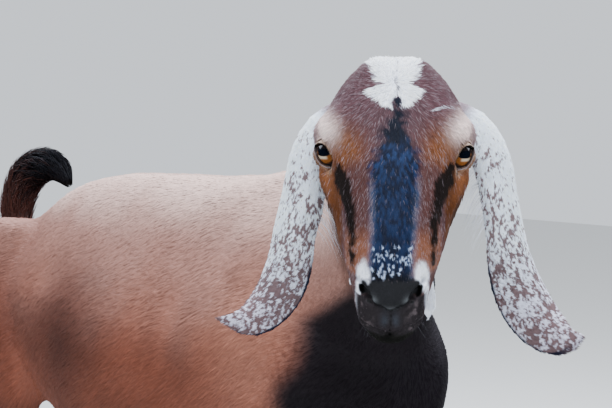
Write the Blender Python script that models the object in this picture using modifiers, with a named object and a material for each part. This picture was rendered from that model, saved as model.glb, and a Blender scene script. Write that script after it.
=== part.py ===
"""A Nubian doe, life size, standing still with the head turned to the right.

Metres, +Z up. The body faces +X and its left side is +Y. The origin is the middle of the
bounding box on the ground.
"""

import math

import bmesh
import bpy
import numpy as np
from mathutils import Matrix, Vector

# Driving sizes of the animal
WITHERS_HEIGHT = 0.785
HIP_HEIGHT = 0.744
HIPS_X = -0.288
WITHERS_X = 0.20
CHEST_DEPTH = 0.385
PIN_X = -0.485
PIN_HEIGHT = 0.672

# The head: the point midway between the eyes, its turn to the right, its dip and its roll
FACE_AT = Vector((0.52, -0.157, 0.811))
HEAD_TURN = math.radians(43)
HEAD_DIP = math.radians(44)
HEAD_ROLL = math.radians(-0.8)

# The right eye in the head's frame: its ball's middle, the way its lids face, and the way
# from their outer corner to the inner one
EYE_RADIUS = 0.0142
EYE_AT = Vector((0.0562, -0.0026, -0.0002))
EYE_WAY = Vector((0.649, 0.687, 0.327))
EYE_CORNERS = Vector((-0.680, 0.717, -0.156))
LID_THICK = 0.0024

EAR_THICK = 0.0042
WATTLE_LENGTH = {"r": 0.066, "l": 0.093}
WATTLE_ASIDE = {"r": 0.030, "l": 0.027}
WATTLE_RADIUS = 0.0085

FORE_FOOT_X = 0.212
HIND_FOOT_X = -0.404
FORE_FOOT_Y = 0.088
HIND_FOOT_Y = 0.096
CORONET_HEIGHT = 0.044
CORONET_SLOPE = math.radians(17)
CLAW_LENGTH = 0.062
CLAW_WIDTH = 0.0245
CLAW_SPREAD = 0.0140

# Making sizes
GAP = 0.0003
BODY_VOXEL = 0.0055
HEAD_VOXEL = 0.0021
BODY_TRIANGLES = 4000
HEAD_TRIANGLES = 4150
RING_POINTS = 40
LOFT_RINGS = 60

COLOURS = {
    "chestnut": (0.28, 0.085, 0.035, 0.75),
    "black": (0.018, 0.016, 0.02, 0.6),
    "roan": (0.62, 0.55, 0.52, 0.8),
    "white": (0.80, 0.77, 0.74, 0.8),
    "eye": (0.28, 0.12, 0.02, 0.08),
    "horn": (0.05, 0.043, 0.038, 0.45),
    "skin": (0.30, 0.19, 0.16, 0.6),
}


def clear_scene():
    for old in list(bpy.data.objects):
        bpy.data.objects.remove(old)


def turned(turn, dip, roll, at):
    """The matrix of a frame whose x is the goat's right, y its nose's way and z its crown's."""
    ahead = Vector((math.cos(turn), -math.sin(turn), 0))
    right = Vector((-math.sin(turn), -math.cos(turn), 0))
    right = Matrix.Rotation(roll, 3, ahead) @ right
    down = ahead.cross(right)
    nose = ahead * math.cos(dip) + down * math.sin(dip)
    crown = right.cross(nose)
    frame = Matrix((right, nose, crown)).transposed().to_4x4()
    frame.translation = at
    return frame


HEAD = turned(HEAD_TURN, HEAD_DIP, HEAD_ROLL, FACE_AT)
FACE = turned(HEAD_TURN, 0.0, 0.0, FACE_AT)


def smoothstep(low, high, value):
    t = np.clip((value - low) / (high - low), 0, 1)
    return t * t * (3 - 2 * t)


def spline(rows, count):
    """The rows of named sizes, read smoothly at count places. Their first column runs one way."""
    rows = np.array(rows, float)
    key = rows[:, 0]
    slope = np.gradient(rows, key, axis=0)
    at = np.linspace(key[0], key[-1], count)
    if key[0] > key[-1]:
        cell = len(key) - 2 - np.clip(np.searchsorted(key[::-1], at) - 1, 0, len(key) - 2)
    else:
        cell = np.clip(np.searchsorted(key, at) - 1, 0, len(key) - 2)
    span = (key[cell + 1] - key[cell])[:, None]
    t = ((at - key[cell])[:, None]) / span
    return (
        rows[cell] * (1 + 2 * t) * (1 - t) ** 2
        + slope[cell] * span * t * (1 - t) ** 2
        + rows[cell + 1] * t * t * (3 - 2 * t)
        + slope[cell + 1] * span * t * t * (t - 1)
    )


def colour_material(name):
    material = bpy.data.materials.get(name) or bpy.data.materials.new(name)
    red, green, blue, rough = COLOURS[name]
    material.use_nodes = True
    surface = material.node_tree.nodes["Principled BSDF"]
    surface.inputs["Base Color"].default_value = (red, green, blue, 1)
    surface.inputs["Roughness"].default_value = rough
    surface.inputs["Metallic"].default_value = 0.0
    return material


def make_object(name, mesh, colour=None):
    made = bpy.data.objects.new(name, mesh)
    bpy.context.scene.collection.objects.link(made)
    if colour:
        made.data.materials.clear()
        made.data.materials.append(colour_material(colour))
    return made


def loft(name, rings):
    """A closed skin through rings of points, with a flat cap at each end."""
    form = bmesh.new()
    rows = [[form.verts.new(point) for point in ring] for ring in rings]
    count = len(rows[0])
    for first, second in zip(rows, rows[1:]):
        for i in range(count):
            form.faces.new((first[i], first[(i + 1) % count], second[(i + 1) % count], second[i]))
    form.faces.new(rows[0][::-1])
    form.faces.new(rows[-1])
    bmesh.ops.recalc_face_normals(form, faces=form.faces)
    mesh = bpy.data.meshes.new(name)
    form.to_mesh(mesh)
    form.free()
    return make_object(name, mesh)


def applied(thing):
    """The object with its modifiers made real."""
    bpy.context.view_layer.update()
    graph = bpy.context.evaluated_depsgraph_get()
    mesh = bpy.data.meshes.new_from_object(thing.evaluated_get(graph))
    thing.modifiers.clear()
    thing.data = mesh
    return thing


def copy_of(thing, name):
    made = thing.copy()
    made.data = thing.data.copy()
    made.name = name
    bpy.context.scene.collection.objects.link(made)
    return made


def join(things, name):
    """One object of several closed meshes, still overlapping."""
    form = bmesh.new()
    for thing in things:
        form.from_mesh(thing.data)
        bpy.data.objects.remove(thing)
    mesh = bpy.data.meshes.new(name)
    form.to_mesh(mesh)
    form.free()
    return make_object(name, mesh)


def fused(thing, voxel, rounds):
    """Overlapping forms grown into one soft skin."""
    remesh = thing.modifiers.new("grow together", "REMESH")
    remesh.mode = "VOXEL"
    remesh.voxel_size = voxel
    soften = thing.modifiers.new("soften", "SMOOTH")
    soften.factor = 0.5
    soften.iterations = rounds
    return applied(thing)


def thinned(thing, triangles):
    """Fewer triangles, kept where the form bends."""
    thing.data.calc_loop_triangles()
    fewer = thing.modifiers.new("fewer faces", "DECIMATE")
    fewer.ratio = triangles / len(thing.data.loop_triangles)
    fewer.use_collapse_triangulate = True
    return applied(thing)


def points_of(thing):
    points = np.empty(len(thing.data.vertices) * 3, np.float32)
    thing.data.vertices.foreach_get("co", points)
    return points.reshape(-1, 3).astype(float)


def normals_of(thing):
    normals = np.empty(len(thing.data.vertices) * 3, np.float32)
    thing.data.vertices.foreach_get("normal", normals)
    return normals.reshape(-1, 3).astype(float)


def set_points(thing, points):
    thing.data.vertices.foreach_set("co", points.astype(np.float32).ravel())
    thing.data.update()


def into(frame, points):
    """Points of the world as the frame sees them."""
    back = np.array(frame.inverted())
    return points @ back[:3, :3].T + back[:3, 3]


def out_of(frame, points):
    ahead = np.array(frame)
    return points @ ahead[:3, :3].T + ahead[:3, 3]


def swell(points, normals, at, radius, height):
    """Raises a soft mound of that radius, or sinks one where height is below zero."""
    near = np.linalg.norm((points - np.array(at)) / np.array(radius), axis=1)
    return points + normals * (height * np.exp(-2 * near**2))[:, None]


def section(top, bottom, crown, side, low, square=0.86):
    """Half widths and heights round one upright ring: at its shoulders, its middle and low down."""
    turn = np.linspace(0, 2 * math.pi, RING_POINTS, endpoint=False)
    lean = np.cos(turn)
    reach = math.sin(math.pi / 4)
    upper = smoothstep(0, reach, lean)
    lower = smoothstep(0, reach, -lean)
    width = side + (crown / reach**square - side) * upper + (low / reach**square - side) * lower
    wide = np.sign(np.sin(turn)) * np.abs(np.sin(turn)) ** square * width
    return wide, (top + bottom) / 2 + (top - bottom) / 2 * lean


# Along the head from the poll to the lips: place, top, bottom, then half widths at the
# crown, the middle and the jaw
HEAD_SECTIONS = (
    (-0.106, 0.006, -0.060, 0.028, 0.038, 0.030),
    (-0.094, 0.031, -0.080, 0.036, 0.052, 0.038),
    (-0.072, 0.046, -0.096, 0.044, 0.062, 0.043),
    (-0.040, 0.051, -0.106, 0.051, 0.069, 0.046),
    (-0.010, 0.051, -0.108, 0.054, 0.068, 0.045),
    (0.020, 0.047, -0.103, 0.046, 0.060, 0.042),
    (0.050, 0.041, -0.093, 0.040, 0.0525, 0.038),
    (0.080, 0.031, -0.083, 0.036, 0.0455, 0.034),
    (0.105, 0.022, -0.079, 0.032, 0.0380, 0.030),
    (0.128, 0.010, -0.078, 0.0285, 0.0320, 0.025),
    (0.145, -0.001, -0.078, 0.0255, 0.0285, 0.021),
    (0.156, -0.014, -0.073, 0.018, 0.0225, 0.015),
    (0.162, -0.027, -0.060, 0.007, 0.0120, 0.008),
)

# Mounds and hollows of the head, on both sides: name, place, radii, height
HEAD_MOUNDS = (
    ("brow", (0.056, -0.006, 0.024), (0.020, 0.030, 0.018), 0.0060),
    ("orbit behind", (0.067, -0.028, 0.002), (0.024, 0.022, 0.028), 0.0075),
    ("orbit below", (0.062, 0.010, -0.020), (0.016, 0.022, 0.014), 0.0045),
    ("temple", (0.050, -0.050, 0.020), (0.014, 0.020, 0.014), -0.0040),
    ("crown bump", (0.020, -0.074, 0.040), (0.020, 0.024, 0.020), 0.0040),
    ("cheek", (0.050, -0.005, -0.060), (0.030, 0.036, 0.030), 0.0050),
    ("cheek crest", (0.050, 0.036, -0.012), (0.020, 0.036, 0.010), 0.0040),
    ("face hollow", (0.042, 0.066, -0.010), (0.020, 0.026, 0.014), -0.0035),
    ("jaw hollow", (0.036, 0.062, -0.066), (0.020, 0.030, 0.016), -0.0035),
    ("nostril wing", (0.026, 0.141, -0.010), (0.011, 0.014, 0.013), 0.0032),
    ("upper lip", (0.018, 0.148, -0.042), (0.018, 0.020, 0.012), 0.0035),
    ("chin", (0.004, 0.142, -0.078), (0.018, 0.014, 0.010), 0.0030),
)

# The mouth's line on one side, from the middle of the lips to its corner
MOUTH_LINE = (
    (0.000, 0.1605, -0.0540),
    (0.0107, 0.1615, -0.0485),
    (0.0200, 0.1580, -0.0445),
    (0.0270, 0.1500, -0.0425),
    (0.0310, 0.1350, -0.0460),
    (0.0335, 0.1050, -0.0520),
)
# The slit of one nostril, from its inner end to its upper tail
NOSTRIL_LINE = (
    (0.0190, 0.1505, -0.0165),
    (0.0212, 0.1470, -0.0138),
    (0.0238, 0.1432, -0.0110),
    (0.0268, 0.1370, -0.0090),
)
# The lower edge of the nose pad, from the nostril to the cleft of the lip
PAD_LINE = (
    (0.0185, 0.1515, -0.0175),
    (0.0130, 0.1560, -0.0205),
    (0.0065, 0.1600, -0.0218),
    (0.0000, 0.1620, -0.0252),
)
# The cleft from the pad down to the lips
CLEFT_LINE = (
    (0.0000, 0.1622, -0.0275),
    (0.0000, 0.1625, -0.0400),
    (0.0000, 0.1610, -0.0510),
)


def dense_line(line, count=24):
    """A few points of a crease made into many, on a smooth curve."""
    line = np.array(line, float)
    steps = np.linspace(0, 1, len(line))
    return spline(np.column_stack([steps, line]), count)[:, 1:]


def crease(points, normals, line, width, depth):
    """Presses a soft groove of that depth along a line of points."""
    path = dense_line(line)
    reach = np.full(len(points), 1e9)
    for point in path:
        reach = np.minimum(reach, np.linalg.norm(points - point, axis=1))
    return points - normals * (depth * np.exp(-((reach / width) ** 2)))[:, None]


# The lids' margins in the eye's frame: place from the outer to the inner corner, then the
# heights of the upper and the lower margin
LID_MARGINS = (
    (-0.0130, -0.0005, -0.0005),
    (-0.0100, 0.0058, -0.0003),
    (-0.0053, 0.0092, -0.0005),
    (-0.0004, 0.0101, -0.0032),
    (0.0045, 0.0086, -0.0052),
    (0.0090, 0.0056, -0.0048),
    (0.0118, 0.0025, -0.0034),
    (0.0134, -0.0012, -0.0014),
)


def eye_frame(side):
    """The eye's own frame in the head: x out between the lids, y to the inner corner, z up."""
    flip = Matrix.Diagonal((side, 1, 1))
    out = (flip @ EYE_WAY).normalized()
    inward = flip @ EYE_CORNERS
    inward = (inward - out * inward.dot(out)).normalized()
    frame = Matrix((out, inward, out.cross(inward) * side)).transposed().to_4x4()
    frame.translation = flip @ EYE_AT
    return frame


def soft_max(first, second, blend):
    return (first + second + np.sqrt((first - second) ** 2 + blend**2)) / 2


def past_margin(along, up):
    """How far places in the eye's frame lie outside the opening between the lids."""
    place, upper, lower = np.array(LID_MARGINS).T
    past = np.maximum(up - np.interp(along, place, upper), np.interp(along, place, lower) - up)
    outer = np.hypot(along - place[0], up - upper[0])
    inner = np.hypot(along - place[-1], up - upper[-1])
    return np.where(along < place[0], outer, np.where(along > place[-1], inner, past))


def lids(points, side):
    """Draws the skin over the eyeball, and open between the margins of the two lids."""
    frame = eye_frame(side)
    local = into(frame, points)
    out, along, up = local.T
    reach = np.hypot(along, up)
    cover = EYE_RADIUS + LID_THICK
    shell = np.sqrt(np.maximum(cover**2 - reach**2, 0)) - 2 * np.maximum(reach - cover, 0)
    rim = smoothstep(EYE_RADIUS * 0.75, EYE_RADIUS * 1.15, reach)
    drawn = shell * (1 - rim) + soft_max(out, shell, 0.002) * rim
    past = past_margin(along, up)
    lid_fold = np.exp(-(((past - 0.0048) / 0.0018) ** 2))
    drawn = drawn - 0.0016 * lid_fold * smoothstep(0.000, 0.006, up) * smoothstep(0.008, -0.002, along)
    opened = 1 - smoothstep(-0.0004, 0.0016, past)
    sunk = np.minimum(drawn, shell - 0.0062)
    drawn = drawn * (1 - opened) + sunk * opened
    near = (out > -0.004) & (reach < 0.030)
    local[:, 0] = np.where(near, drawn, out)
    return out_of(frame, local)


def head_detail(thing):
    """Mounds, folds, nostrils and mouth, pressed into a fine skin in the head's own frame."""
    points = into(HEAD, points_of(thing))
    normals = normals_of(thing) @ np.array(HEAD)[:3, :3]
    weight = smoothstep(-0.13, -0.09, points[:, 1])[:, None]
    shaped = points.copy()
    for side in (1, -1):
        flip = np.array((side, 1, 1))
        for _, at, radius, height in HEAD_MOUNDS:
            shaped = swell(shaped, normals, np.array(at) * flip, radius, height)
        shaped = crease(shaped, normals, np.array(MOUTH_LINE) * flip, 0.0026, 0.0034)
        shaped = crease(shaped, normals, np.array(PAD_LINE) * flip, 0.0022, 0.0020)
        shaped = crease(shaped, normals, np.array(NOSTRIL_LINE) * flip, 0.0034, 0.0075)
        shaped = lids(shaped, side)
    shaped = crease(shaped, normals, CLEFT_LINE, 0.0020, 0.0022)
    set_points(thing, out_of(HEAD, points + (shaped - points) * weight))


def head_form():
    rings = []
    for place, *sizes in spline(HEAD_SECTIONS, LOFT_RINGS):
        wide, high = section(*sizes)
        ring = np.column_stack([wide, np.full(RING_POINTS, place), high])
        rings.append(out_of(HEAD, ring))
    return loft("head form", rings)


# Along the body from the pin bones to the breast: place, top, bottom, half widths at the
# back, the middle and the belly
TORSO_SECTIONS = (
    (PIN_X - 0.012, PIN_HEIGHT - 0.036, 0.575, 0.018, 0.028, 0.022),
    (PIN_X + 0.020, PIN_HEIGHT - 0.008, 0.520, 0.038, 0.068, 0.050),
    (-0.380, 0.702, 0.470, 0.049, 0.100, 0.078),
    (HIPS_X, HIP_HEIGHT, 0.430, 0.058, 0.114, 0.092),
    (-0.180, 0.764, 0.392, 0.070, 0.128, 0.106),
    (-0.050, 0.770, 0.362, 0.078, 0.146, 0.124),
    (0.070, 0.772, 0.366, 0.076, 0.142, 0.116),
    (0.150, 0.778, 0.382, 0.066, 0.130, 0.098),
    (WITHERS_X, WITHERS_HEIGHT, WITHERS_HEIGHT - CHEST_DEPTH, 0.054, 0.122, 0.088),
    (0.270, 0.763, 0.414, 0.056, 0.114, 0.080),
    (0.325, 0.716, 0.442, 0.052, 0.098, 0.070),
    (0.365, 0.655, 0.478, 0.040, 0.072, 0.052),
    (0.388, 0.610, 0.520, 0.020, 0.036, 0.026),
)

# The neck's middle line with half depth and half width, from inside the chest to the head
NECK_STATIONS = (
    (0.00, 0.120, 0.000, 0.600, 0.150, 0.096),
    (0.25, 0.230, 0.000, 0.640, 0.145, 0.092),
    (0.48, 0.322, -0.018, 0.688, 0.118, 0.076),
    (0.68, 0.392, -0.056, 0.742, 0.093, 0.060),
    (0.86, 0.442, -0.094, 0.798, 0.076, 0.052),
    (1.00, 0.472, -0.116, 0.836, 0.062, 0.046),
)

# One leg from inside the body to below the coronet: height, place along the body, place to
# the side, half depth and half width
FORELEG_STATIONS = (
    (0.680, 0.190, 0.062, 0.060, 0.026),
    (0.600, 0.222, 0.076, 0.066, 0.034),
    (0.520, 0.232, 0.086, 0.062, 0.036),
    (0.460, 0.208, 0.091, 0.056, 0.036),
    (0.415, 0.186, 0.092, 0.047, 0.033),
    (0.360, 0.187, 0.091, 0.036, 0.029),
    (0.290, 0.193, 0.090, 0.026, 0.0235),
    (0.250, 0.198, 0.089, 0.0265, 0.0245),
    (0.225, 0.199, 0.089, 0.0265, 0.0245),
    (0.195, 0.196, 0.088, 0.0190, 0.0180),
    (0.150, 0.196, 0.088, 0.0160, 0.0150),
    (0.110, 0.197, 0.088, 0.0170, 0.0165),
    (0.084, 0.199, 0.088, 0.0225, 0.0215),
    (0.060, 0.206, 0.088, 0.0205, 0.0225),
    (0.020, 0.217, 0.088, 0.0235, 0.0265),
)
HINDLEG_STATIONS = (
    (0.690, -0.405, 0.040, 0.070, 0.032),
    (0.620, -0.395, 0.068, 0.092, 0.040),
    (0.550, -0.372, 0.086, 0.100, 0.042),
    (0.480, -0.346, 0.094, 0.090, 0.040),
    (0.430, -0.342, 0.097, 0.070, 0.037),
    (0.380, -0.366, 0.098, 0.050, 0.031),
    (0.335, -0.396, 0.098, 0.038, 0.026),
    (0.300, -0.424, 0.098, 0.034, 0.0215),
    (0.272, -0.440, 0.097, 0.0330, 0.0205),
    (0.240, -0.441, 0.097, 0.0260, 0.0200),
    (0.205, -0.434, 0.097, 0.0195, 0.0175),
    (0.150, -0.426, 0.096, 0.0170, 0.0155),
    (0.112, -0.422, 0.096, 0.0175, 0.0165),
    (0.085, -0.419, 0.096, 0.0225, 0.0215),
    (0.060, -0.411, 0.096, 0.0205, 0.0225),
    (0.020, -0.399, 0.096, 0.0235, 0.0265),
)
# How far each foot stands ahead of its square place, so that the stance isn't stiff
STEP_AHEAD = {"fore_r": 0.030, "fore_l": -0.022, "hind_r": -0.030, "hind_l": 0.024}

# Mounds and hollows of the body, on both sides: name, place, radii, height
BODY_MOUNDS = (
    ("hip bone", (-0.295, 0.096, 0.698), (0.034, 0.030, 0.026), 0.0110),
    ("pin bone", (-0.477, 0.042, 0.640), (0.026, 0.022, 0.024), 0.0090),
    ("flank hollow", (-0.225, 0.125, 0.650), (0.060, 0.040, 0.050), -0.0130),
    ("loin edge", (-0.190, 0.085, 0.744), (0.080, 0.024, 0.016), 0.0050),
    ("shoulder point", (0.300, 0.104, 0.560), (0.036, 0.034, 0.040), 0.0130),
    ("shoulder blade", (0.185, 0.080, 0.710), (0.040, 0.036, 0.080), 0.0060),
    ("behind shoulder", (0.105, 0.125, 0.640), (0.034, 0.040, 0.090), -0.0070),
    ("elbow", (0.140, 0.110, 0.440), (0.030, 0.026, 0.024), 0.0090),
    ("stifle", (-0.282, 0.120, 0.455), (0.036, 0.030, 0.036), 0.0090),
    ("point of hock", (-0.475, 0.098, 0.292), (0.016, 0.016, 0.020), 0.0100),
    ("tendon hollow", (-0.440, 0.098, 0.350), (0.020, 0.030, 0.030), -0.0060),
    ("jugular groove", (0.385, -0.002, 0.690), (0.060, 0.040, 0.040), -0.0040),
)


def torso_form():
    rings = []
    for place, *sizes in spline(TORSO_SECTIONS, LOFT_RINGS):
        wide, high = section(*sizes, square=0.90)
        rings.append(np.column_stack([np.full(RING_POINTS, place), wide, high]))
    return loft("torso form", rings)


def neck_form():
    rows = spline(NECK_STATIONS, LOFT_RINGS)
    centres = rows[:, 1:4]
    ways = np.gradient(centres, axis=0)
    turn = np.linspace(0, 2 * math.pi, RING_POINTS, endpoint=False)
    rings = []
    for centre, way, (deep, wide) in zip(centres, ways, rows[:, 4:]):
        ahead = Vector(way).normalized()
        side = ahead.cross(Vector((0, 0, 1))).normalized()
        up = side.cross(ahead)
        shape = 1 - 0.10 * np.cos(turn)
        ring = (
            centre
            + np.outer(np.sin(turn) * wide * shape, side)
            + np.outer(np.cos(turn) * deep, up)
        )
        rings.append(ring)
    return loft("neck form", rings)


def leg_form(stations, side, step):
    """A leg of flat rings, leaning so that its foot stands a step ahead."""
    rows = spline(stations, LOFT_RINGS)
    turn = np.linspace(0, 2 * math.pi, RING_POINTS, endpoint=False)
    top = stations[0][0]
    rings = []
    for height, along, aside, deep, wide in rows:
        lean = step * smoothstep(top, 0.05, height)
        ring = np.column_stack(
            [
                along + lean + np.cos(turn) * deep,
                side * (aside + np.sin(turn) * wide),
                np.full(RING_POINTS, height),
            ]
        )
        rings.append(ring)
    return loft("leg form", rings)


def body_detail(thing):
    points = points_of(thing)
    normals = normals_of(thing)
    for side in (1, -1):
        flip = np.array((1, side, 1))
        for _, at, radius, height in BODY_MOUNDS:
            points = swell(points, normals, np.array(at) * flip, radius, height)
    set_points(thing, points)


def whole_flesh():
    forms = [torso_form(), neck_form(), head_form()]
    for side, name in ((-1, "r"), (1, "l")):
        forms.append(leg_form(FORELEG_STATIONS, side, STEP_AHEAD["fore_" + name]))
        forms.append(leg_form(HINDLEG_STATIONS, side, STEP_AHEAD["hind_" + name]))
    return join(forms, "flesh")


def cut(thing, cutter, operation="DIFFERENCE", solver="MANIFOLD"):
    """One Boolean, applied, with the cutter kept."""
    change = thing.modifiers.new("cut", "BOOLEAN")
    change.operation = operation
    change.solver = solver
    change.object = cutter
    return applied(thing)


def largest_piece(thing):
    """Keeps the largest closed surface and drops any scrap."""
    form = bmesh.new()
    form.from_mesh(thing.data)
    form.faces.ensure_lookup_table()
    left = set(form.faces)
    groups = []
    while left:
        start = left.pop()
        group, edge = [start], [start]
        while edge:
            face = edge.pop()
            for side in face.edges:
                for other in side.link_faces:
                    if other in left:
                        left.discard(other)
                        group.append(other)
                        edge.append(other)
        groups.append(group)
    groups.sort(key=len)
    for group in groups[:-1]:
        bmesh.ops.delete(form, geom=group, context="FACES")
    bmesh.ops.triangulate(form, faces=form.faces)
    form.to_mesh(thing.data)
    form.free()
    thing.data.update()
    return thing


def keep_side(thing, at, way):
    """Cuts by a plane and keeps what lies along way, closing the cut."""
    form = bmesh.new()
    form.from_mesh(thing.data)
    found = bmesh.ops.bisect_plane(
        form,
        geom=form.verts[:] + form.edges[:] + form.faces[:],
        dist=1e-6,
        plane_co=at,
        plane_no=-Vector(way),
        clear_outer=True,
    )
    rim = [g for g in found["geom_cut"] if isinstance(g, bmesh.types.BMEdge)]
    bmesh.ops.triangle_fill(form, edges=rim, use_dissolve=False, use_beauty=True)
    bmesh.ops.recalc_face_normals(form, faces=form.faces)
    bmesh.ops.triangulate(form, faces=form.faces)
    form.to_mesh(thing.data)
    form.free()
    thing.data.update()
    return thing


def box_cutter(name, middle, size, tilt=0.0):
    bpy.ops.mesh.primitive_cube_add(size=1, location=(0, 0, 0))
    box = bpy.context.object
    box.name = name
    box.data.transform(Matrix.Diagonal((*size, 1)))
    box.data.transform(Matrix.Rotation(tilt, 4, "Y"))
    box.data.transform(Matrix.Translation(middle))
    return box


# The leg's share of the flesh: a box round it, tilted behind along the thigh
LEG_BOXES = {
    "fore": (Vector((0.198, 0.150, 0.205)), (0.165, 0.200, 0.46), math.radians(-6)),
    "hind": (Vector((-0.460, 0.145, 0.230)), (0.46, 0.230, 0.50), math.radians(24)),
}


def part_flesh(flesh, head_skin):
    """Parts the skin into head, neck, torso and legs with thin cuts."""
    neck_at = FACE @ Vector((0, -0.106, 0))
    neck_way = (FACE.to_3x3() @ Vector((0, 1, 0.06))).normalized()
    base_at = Vector((0.300, -0.012, 0.680))
    base_way = Vector((0.78, -0.14, 0.61)).normalized()

    head = keep_side(head_skin, neck_at + neck_way * GAP / 2, neck_way)
    head.name = "head"

    neck = copy_of(flesh, "neck")
    keep_side(neck, neck_at - neck_way * GAP / 2, -neck_way)
    keep_side(neck, base_at + base_way * GAP / 2, base_way)

    torso = copy_of(flesh, "torso")
    keep_side(torso, base_at - base_way * GAP / 2, -base_way)
    legs = []
    for place in ("fore", "hind"):
        middle, size, tilt = LEG_BOXES[place]
        for side, name in ((-1, "r"), (1, "l")):
            centre = Vector((middle.x, middle.y * side, middle.z))
            inner = box_cutter("leg box", centre, size, tilt)
            outer = box_cutter("torso box", centre, [s + 2 * GAP for s in size], tilt)
            leg = cut(copy_of(flesh, f"{place}leg_{name}"), inner, "INTERSECT")
            largest_piece(leg)
            step = STEP_AHEAD[f"{place}_{name}"]
            foot = FORE_FOOT_X if place == "fore" else HIND_FOOT_X
            at = Vector((foot + step, 0, CORONET_HEIGHT + GAP))
            keep_side(leg, at, Vector((-math.sin(CORONET_SLOPE), 0, math.cos(CORONET_SLOPE))))
            torso = cut(torso, outer)
            bpy.data.objects.remove(inner)
            bpy.data.objects.remove(outer)
            legs.append(leg)
    largest_piece(torso)
    return [head, neck, torso, *legs]


def ellipse_claw(height, back, front, width):
    """One level of a claw: round at the heel, drawn to a toe in front."""
    turn = np.linspace(0, 2 * math.pi, 16, endpoint=False)
    along = np.cos(turn)
    toe = smoothstep(0.0, 1.0, along)
    wide = np.sin(turn) * width / 2 * (1 - 0.42 * toe)
    place = (front + back) / 2 + along * (front - back) / 2
    return np.column_stack([place, wide, np.full(len(turn), height)])


def claw(name, foot_x, foot_y, inner):
    """One hoof claw, flat below, cut above along the coronet."""
    rings = [
        ellipse_claw(0.0, -0.023, CLAW_LENGTH - 0.024, CLAW_WIDTH),
        ellipse_claw(0.012, -0.0245, CLAW_LENGTH - 0.029, CLAW_WIDTH * 1.02),
        ellipse_claw(0.030, -0.0235, CLAW_LENGTH - 0.037, CLAW_WIDTH * 0.98),
        ellipse_claw(0.060, -0.0215, CLAW_LENGTH - 0.048, CLAW_WIDTH * 0.86),
    ]
    splay = Matrix.Rotation(math.radians(4 * inner), 3, "Z")
    placed = []
    for ring in rings:
        ring = ring @ np.array(splay).T
        placed.append(ring + np.array((foot_x, foot_y + inner * CLAW_SPREAD, 0)))
    hoof = loft(name, placed)
    top = Vector((foot_x, 0, CORONET_HEIGHT - GAP / 2))
    return keep_side(hoof, top, Vector((math.sin(CORONET_SLOPE), 0, -math.cos(CORONET_SLOPE))))


def dewclaw(name, foot_x, foot_y, inner):
    """A small horn behind the fetlock, rooted at the leg's face."""
    bpy.ops.mesh.primitive_cone_add(vertices=10, radius1=0.0080, radius2=0.0042, depth=0.020)
    horn = bpy.context.object
    horn.name = name
    horn.data.transform(Matrix.Rotation(math.radians(-118), 4, "Y"))
    horn.data.transform(Matrix.Translation((foot_x - 0.0315, foot_y + inner * 0.0105, 0.076)))
    return horn


def feet():
    """Eight claws and eight dewclaws, a pair of each at every foot."""
    claws = []
    horns = {}
    for place, foot_x, foot_y in (("fore", FORE_FOOT_X, FORE_FOOT_Y), ("hind", HIND_FOOT_X, HIND_FOOT_Y)):
        for side, name in ((-1, "r"), (1, "l")):
            at_x = foot_x + STEP_AHEAD[f"{place}_{name}"]
            leg = f"{place}leg_{name}"
            horns[leg] = []
            for inner, word in ((1, "a"), (-1, "b")):
                claws.append(claw(f"hoof_{place}_{name}_{word}", at_x, foot_y * side, inner))
                horns[leg].append(
                    dewclaw(f"dewclaw_{place}_{name}_{word}", at_x, foot_y * side, inner)
                )
    return claws, horns


def grown(thing, name, by):
    """A copy of a solid, moved outward by a small distance on all sides."""
    bigger = copy_of(thing, name)
    set_points(bigger, points_of(bigger) + normals_of(bigger) * by)
    return bigger


# Each ear hangs beside the face. Place from the root, then the middle of what shows from the
# front: out to the side, ahead and up from the point between the eyes, with half its width,
# then how far the sheet curls to each edge and how far it faces outward
EAR_R = (
    (0.00, 0.048, -0.052, 0.036, 0.0150, 72, 46),
    (0.09, 0.066, -0.052, 0.022, 0.0180, 76, 46),
    (0.18, 0.0775, -0.049, 0.002, 0.0195, 80, 44),
    (0.29, 0.0830, -0.045, -0.024, 0.0207, 82, 42),
    (0.40, 0.0875, -0.041, -0.052, 0.0216, 82, 42),
    (0.50, 0.0932, -0.037, -0.075, 0.0212, 80, 40),
    (0.60, 0.0970, -0.033, -0.101, 0.0225, 76, 36),
    (0.68, 0.1025, -0.031, -0.120, 0.0230, 70, 32),
    (0.76, 0.1110, -0.029, -0.1365, 0.0215, 62, 28),
    (0.83, 0.1230, -0.027, -0.1495, 0.0190, 50, 22),
    (0.89, 0.1365, -0.025, -0.1565, 0.0145, 38, 18),
    (0.945, 0.1505, -0.023, -0.1555, 0.0070, 28, 14),
    (1.00, 0.1640, -0.022, -0.1525, 0.0012, 20, 12),
)
EAR_L = (
    (0.00, 0.050, -0.052, 0.036, 0.0150, 72, 46),
    (0.094, 0.072, -0.052, 0.024, 0.0175, 76, 46),
    (0.17, 0.0840, -0.049, 0.008, 0.0185, 80, 44),
    (0.23, 0.0900, -0.046, -0.007, 0.0188, 82, 43),
    (0.357, 0.0970, -0.041, -0.040, 0.0180, 82, 42),
    (0.507, 0.1037, -0.037, -0.0795, 0.0195, 80, 40),
    (0.588, 0.1072, -0.034, -0.1006, 0.0220, 76, 36),
    (0.67, 0.1133, -0.032, -0.1218, 0.0240, 70, 32),
    (0.748, 0.1221, -0.029, -0.1402, 0.0245, 62, 28),
    (0.815, 0.1322, -0.027, -0.1549, 0.0230, 52, 24),
    (0.875, 0.1446, -0.025, -0.1650, 0.0200, 42, 20),
    (0.927, 0.1575, -0.0235, -0.1700, 0.0150, 32, 16),
    (0.965, 0.1665, -0.0225, -0.1692, 0.0085, 25, 14),
    (1.00, 0.1740, -0.022, -0.1658, 0.0012, 20, 12),
)
EAR_RINGS = 24
EAR_ACROSS = 9


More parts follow.
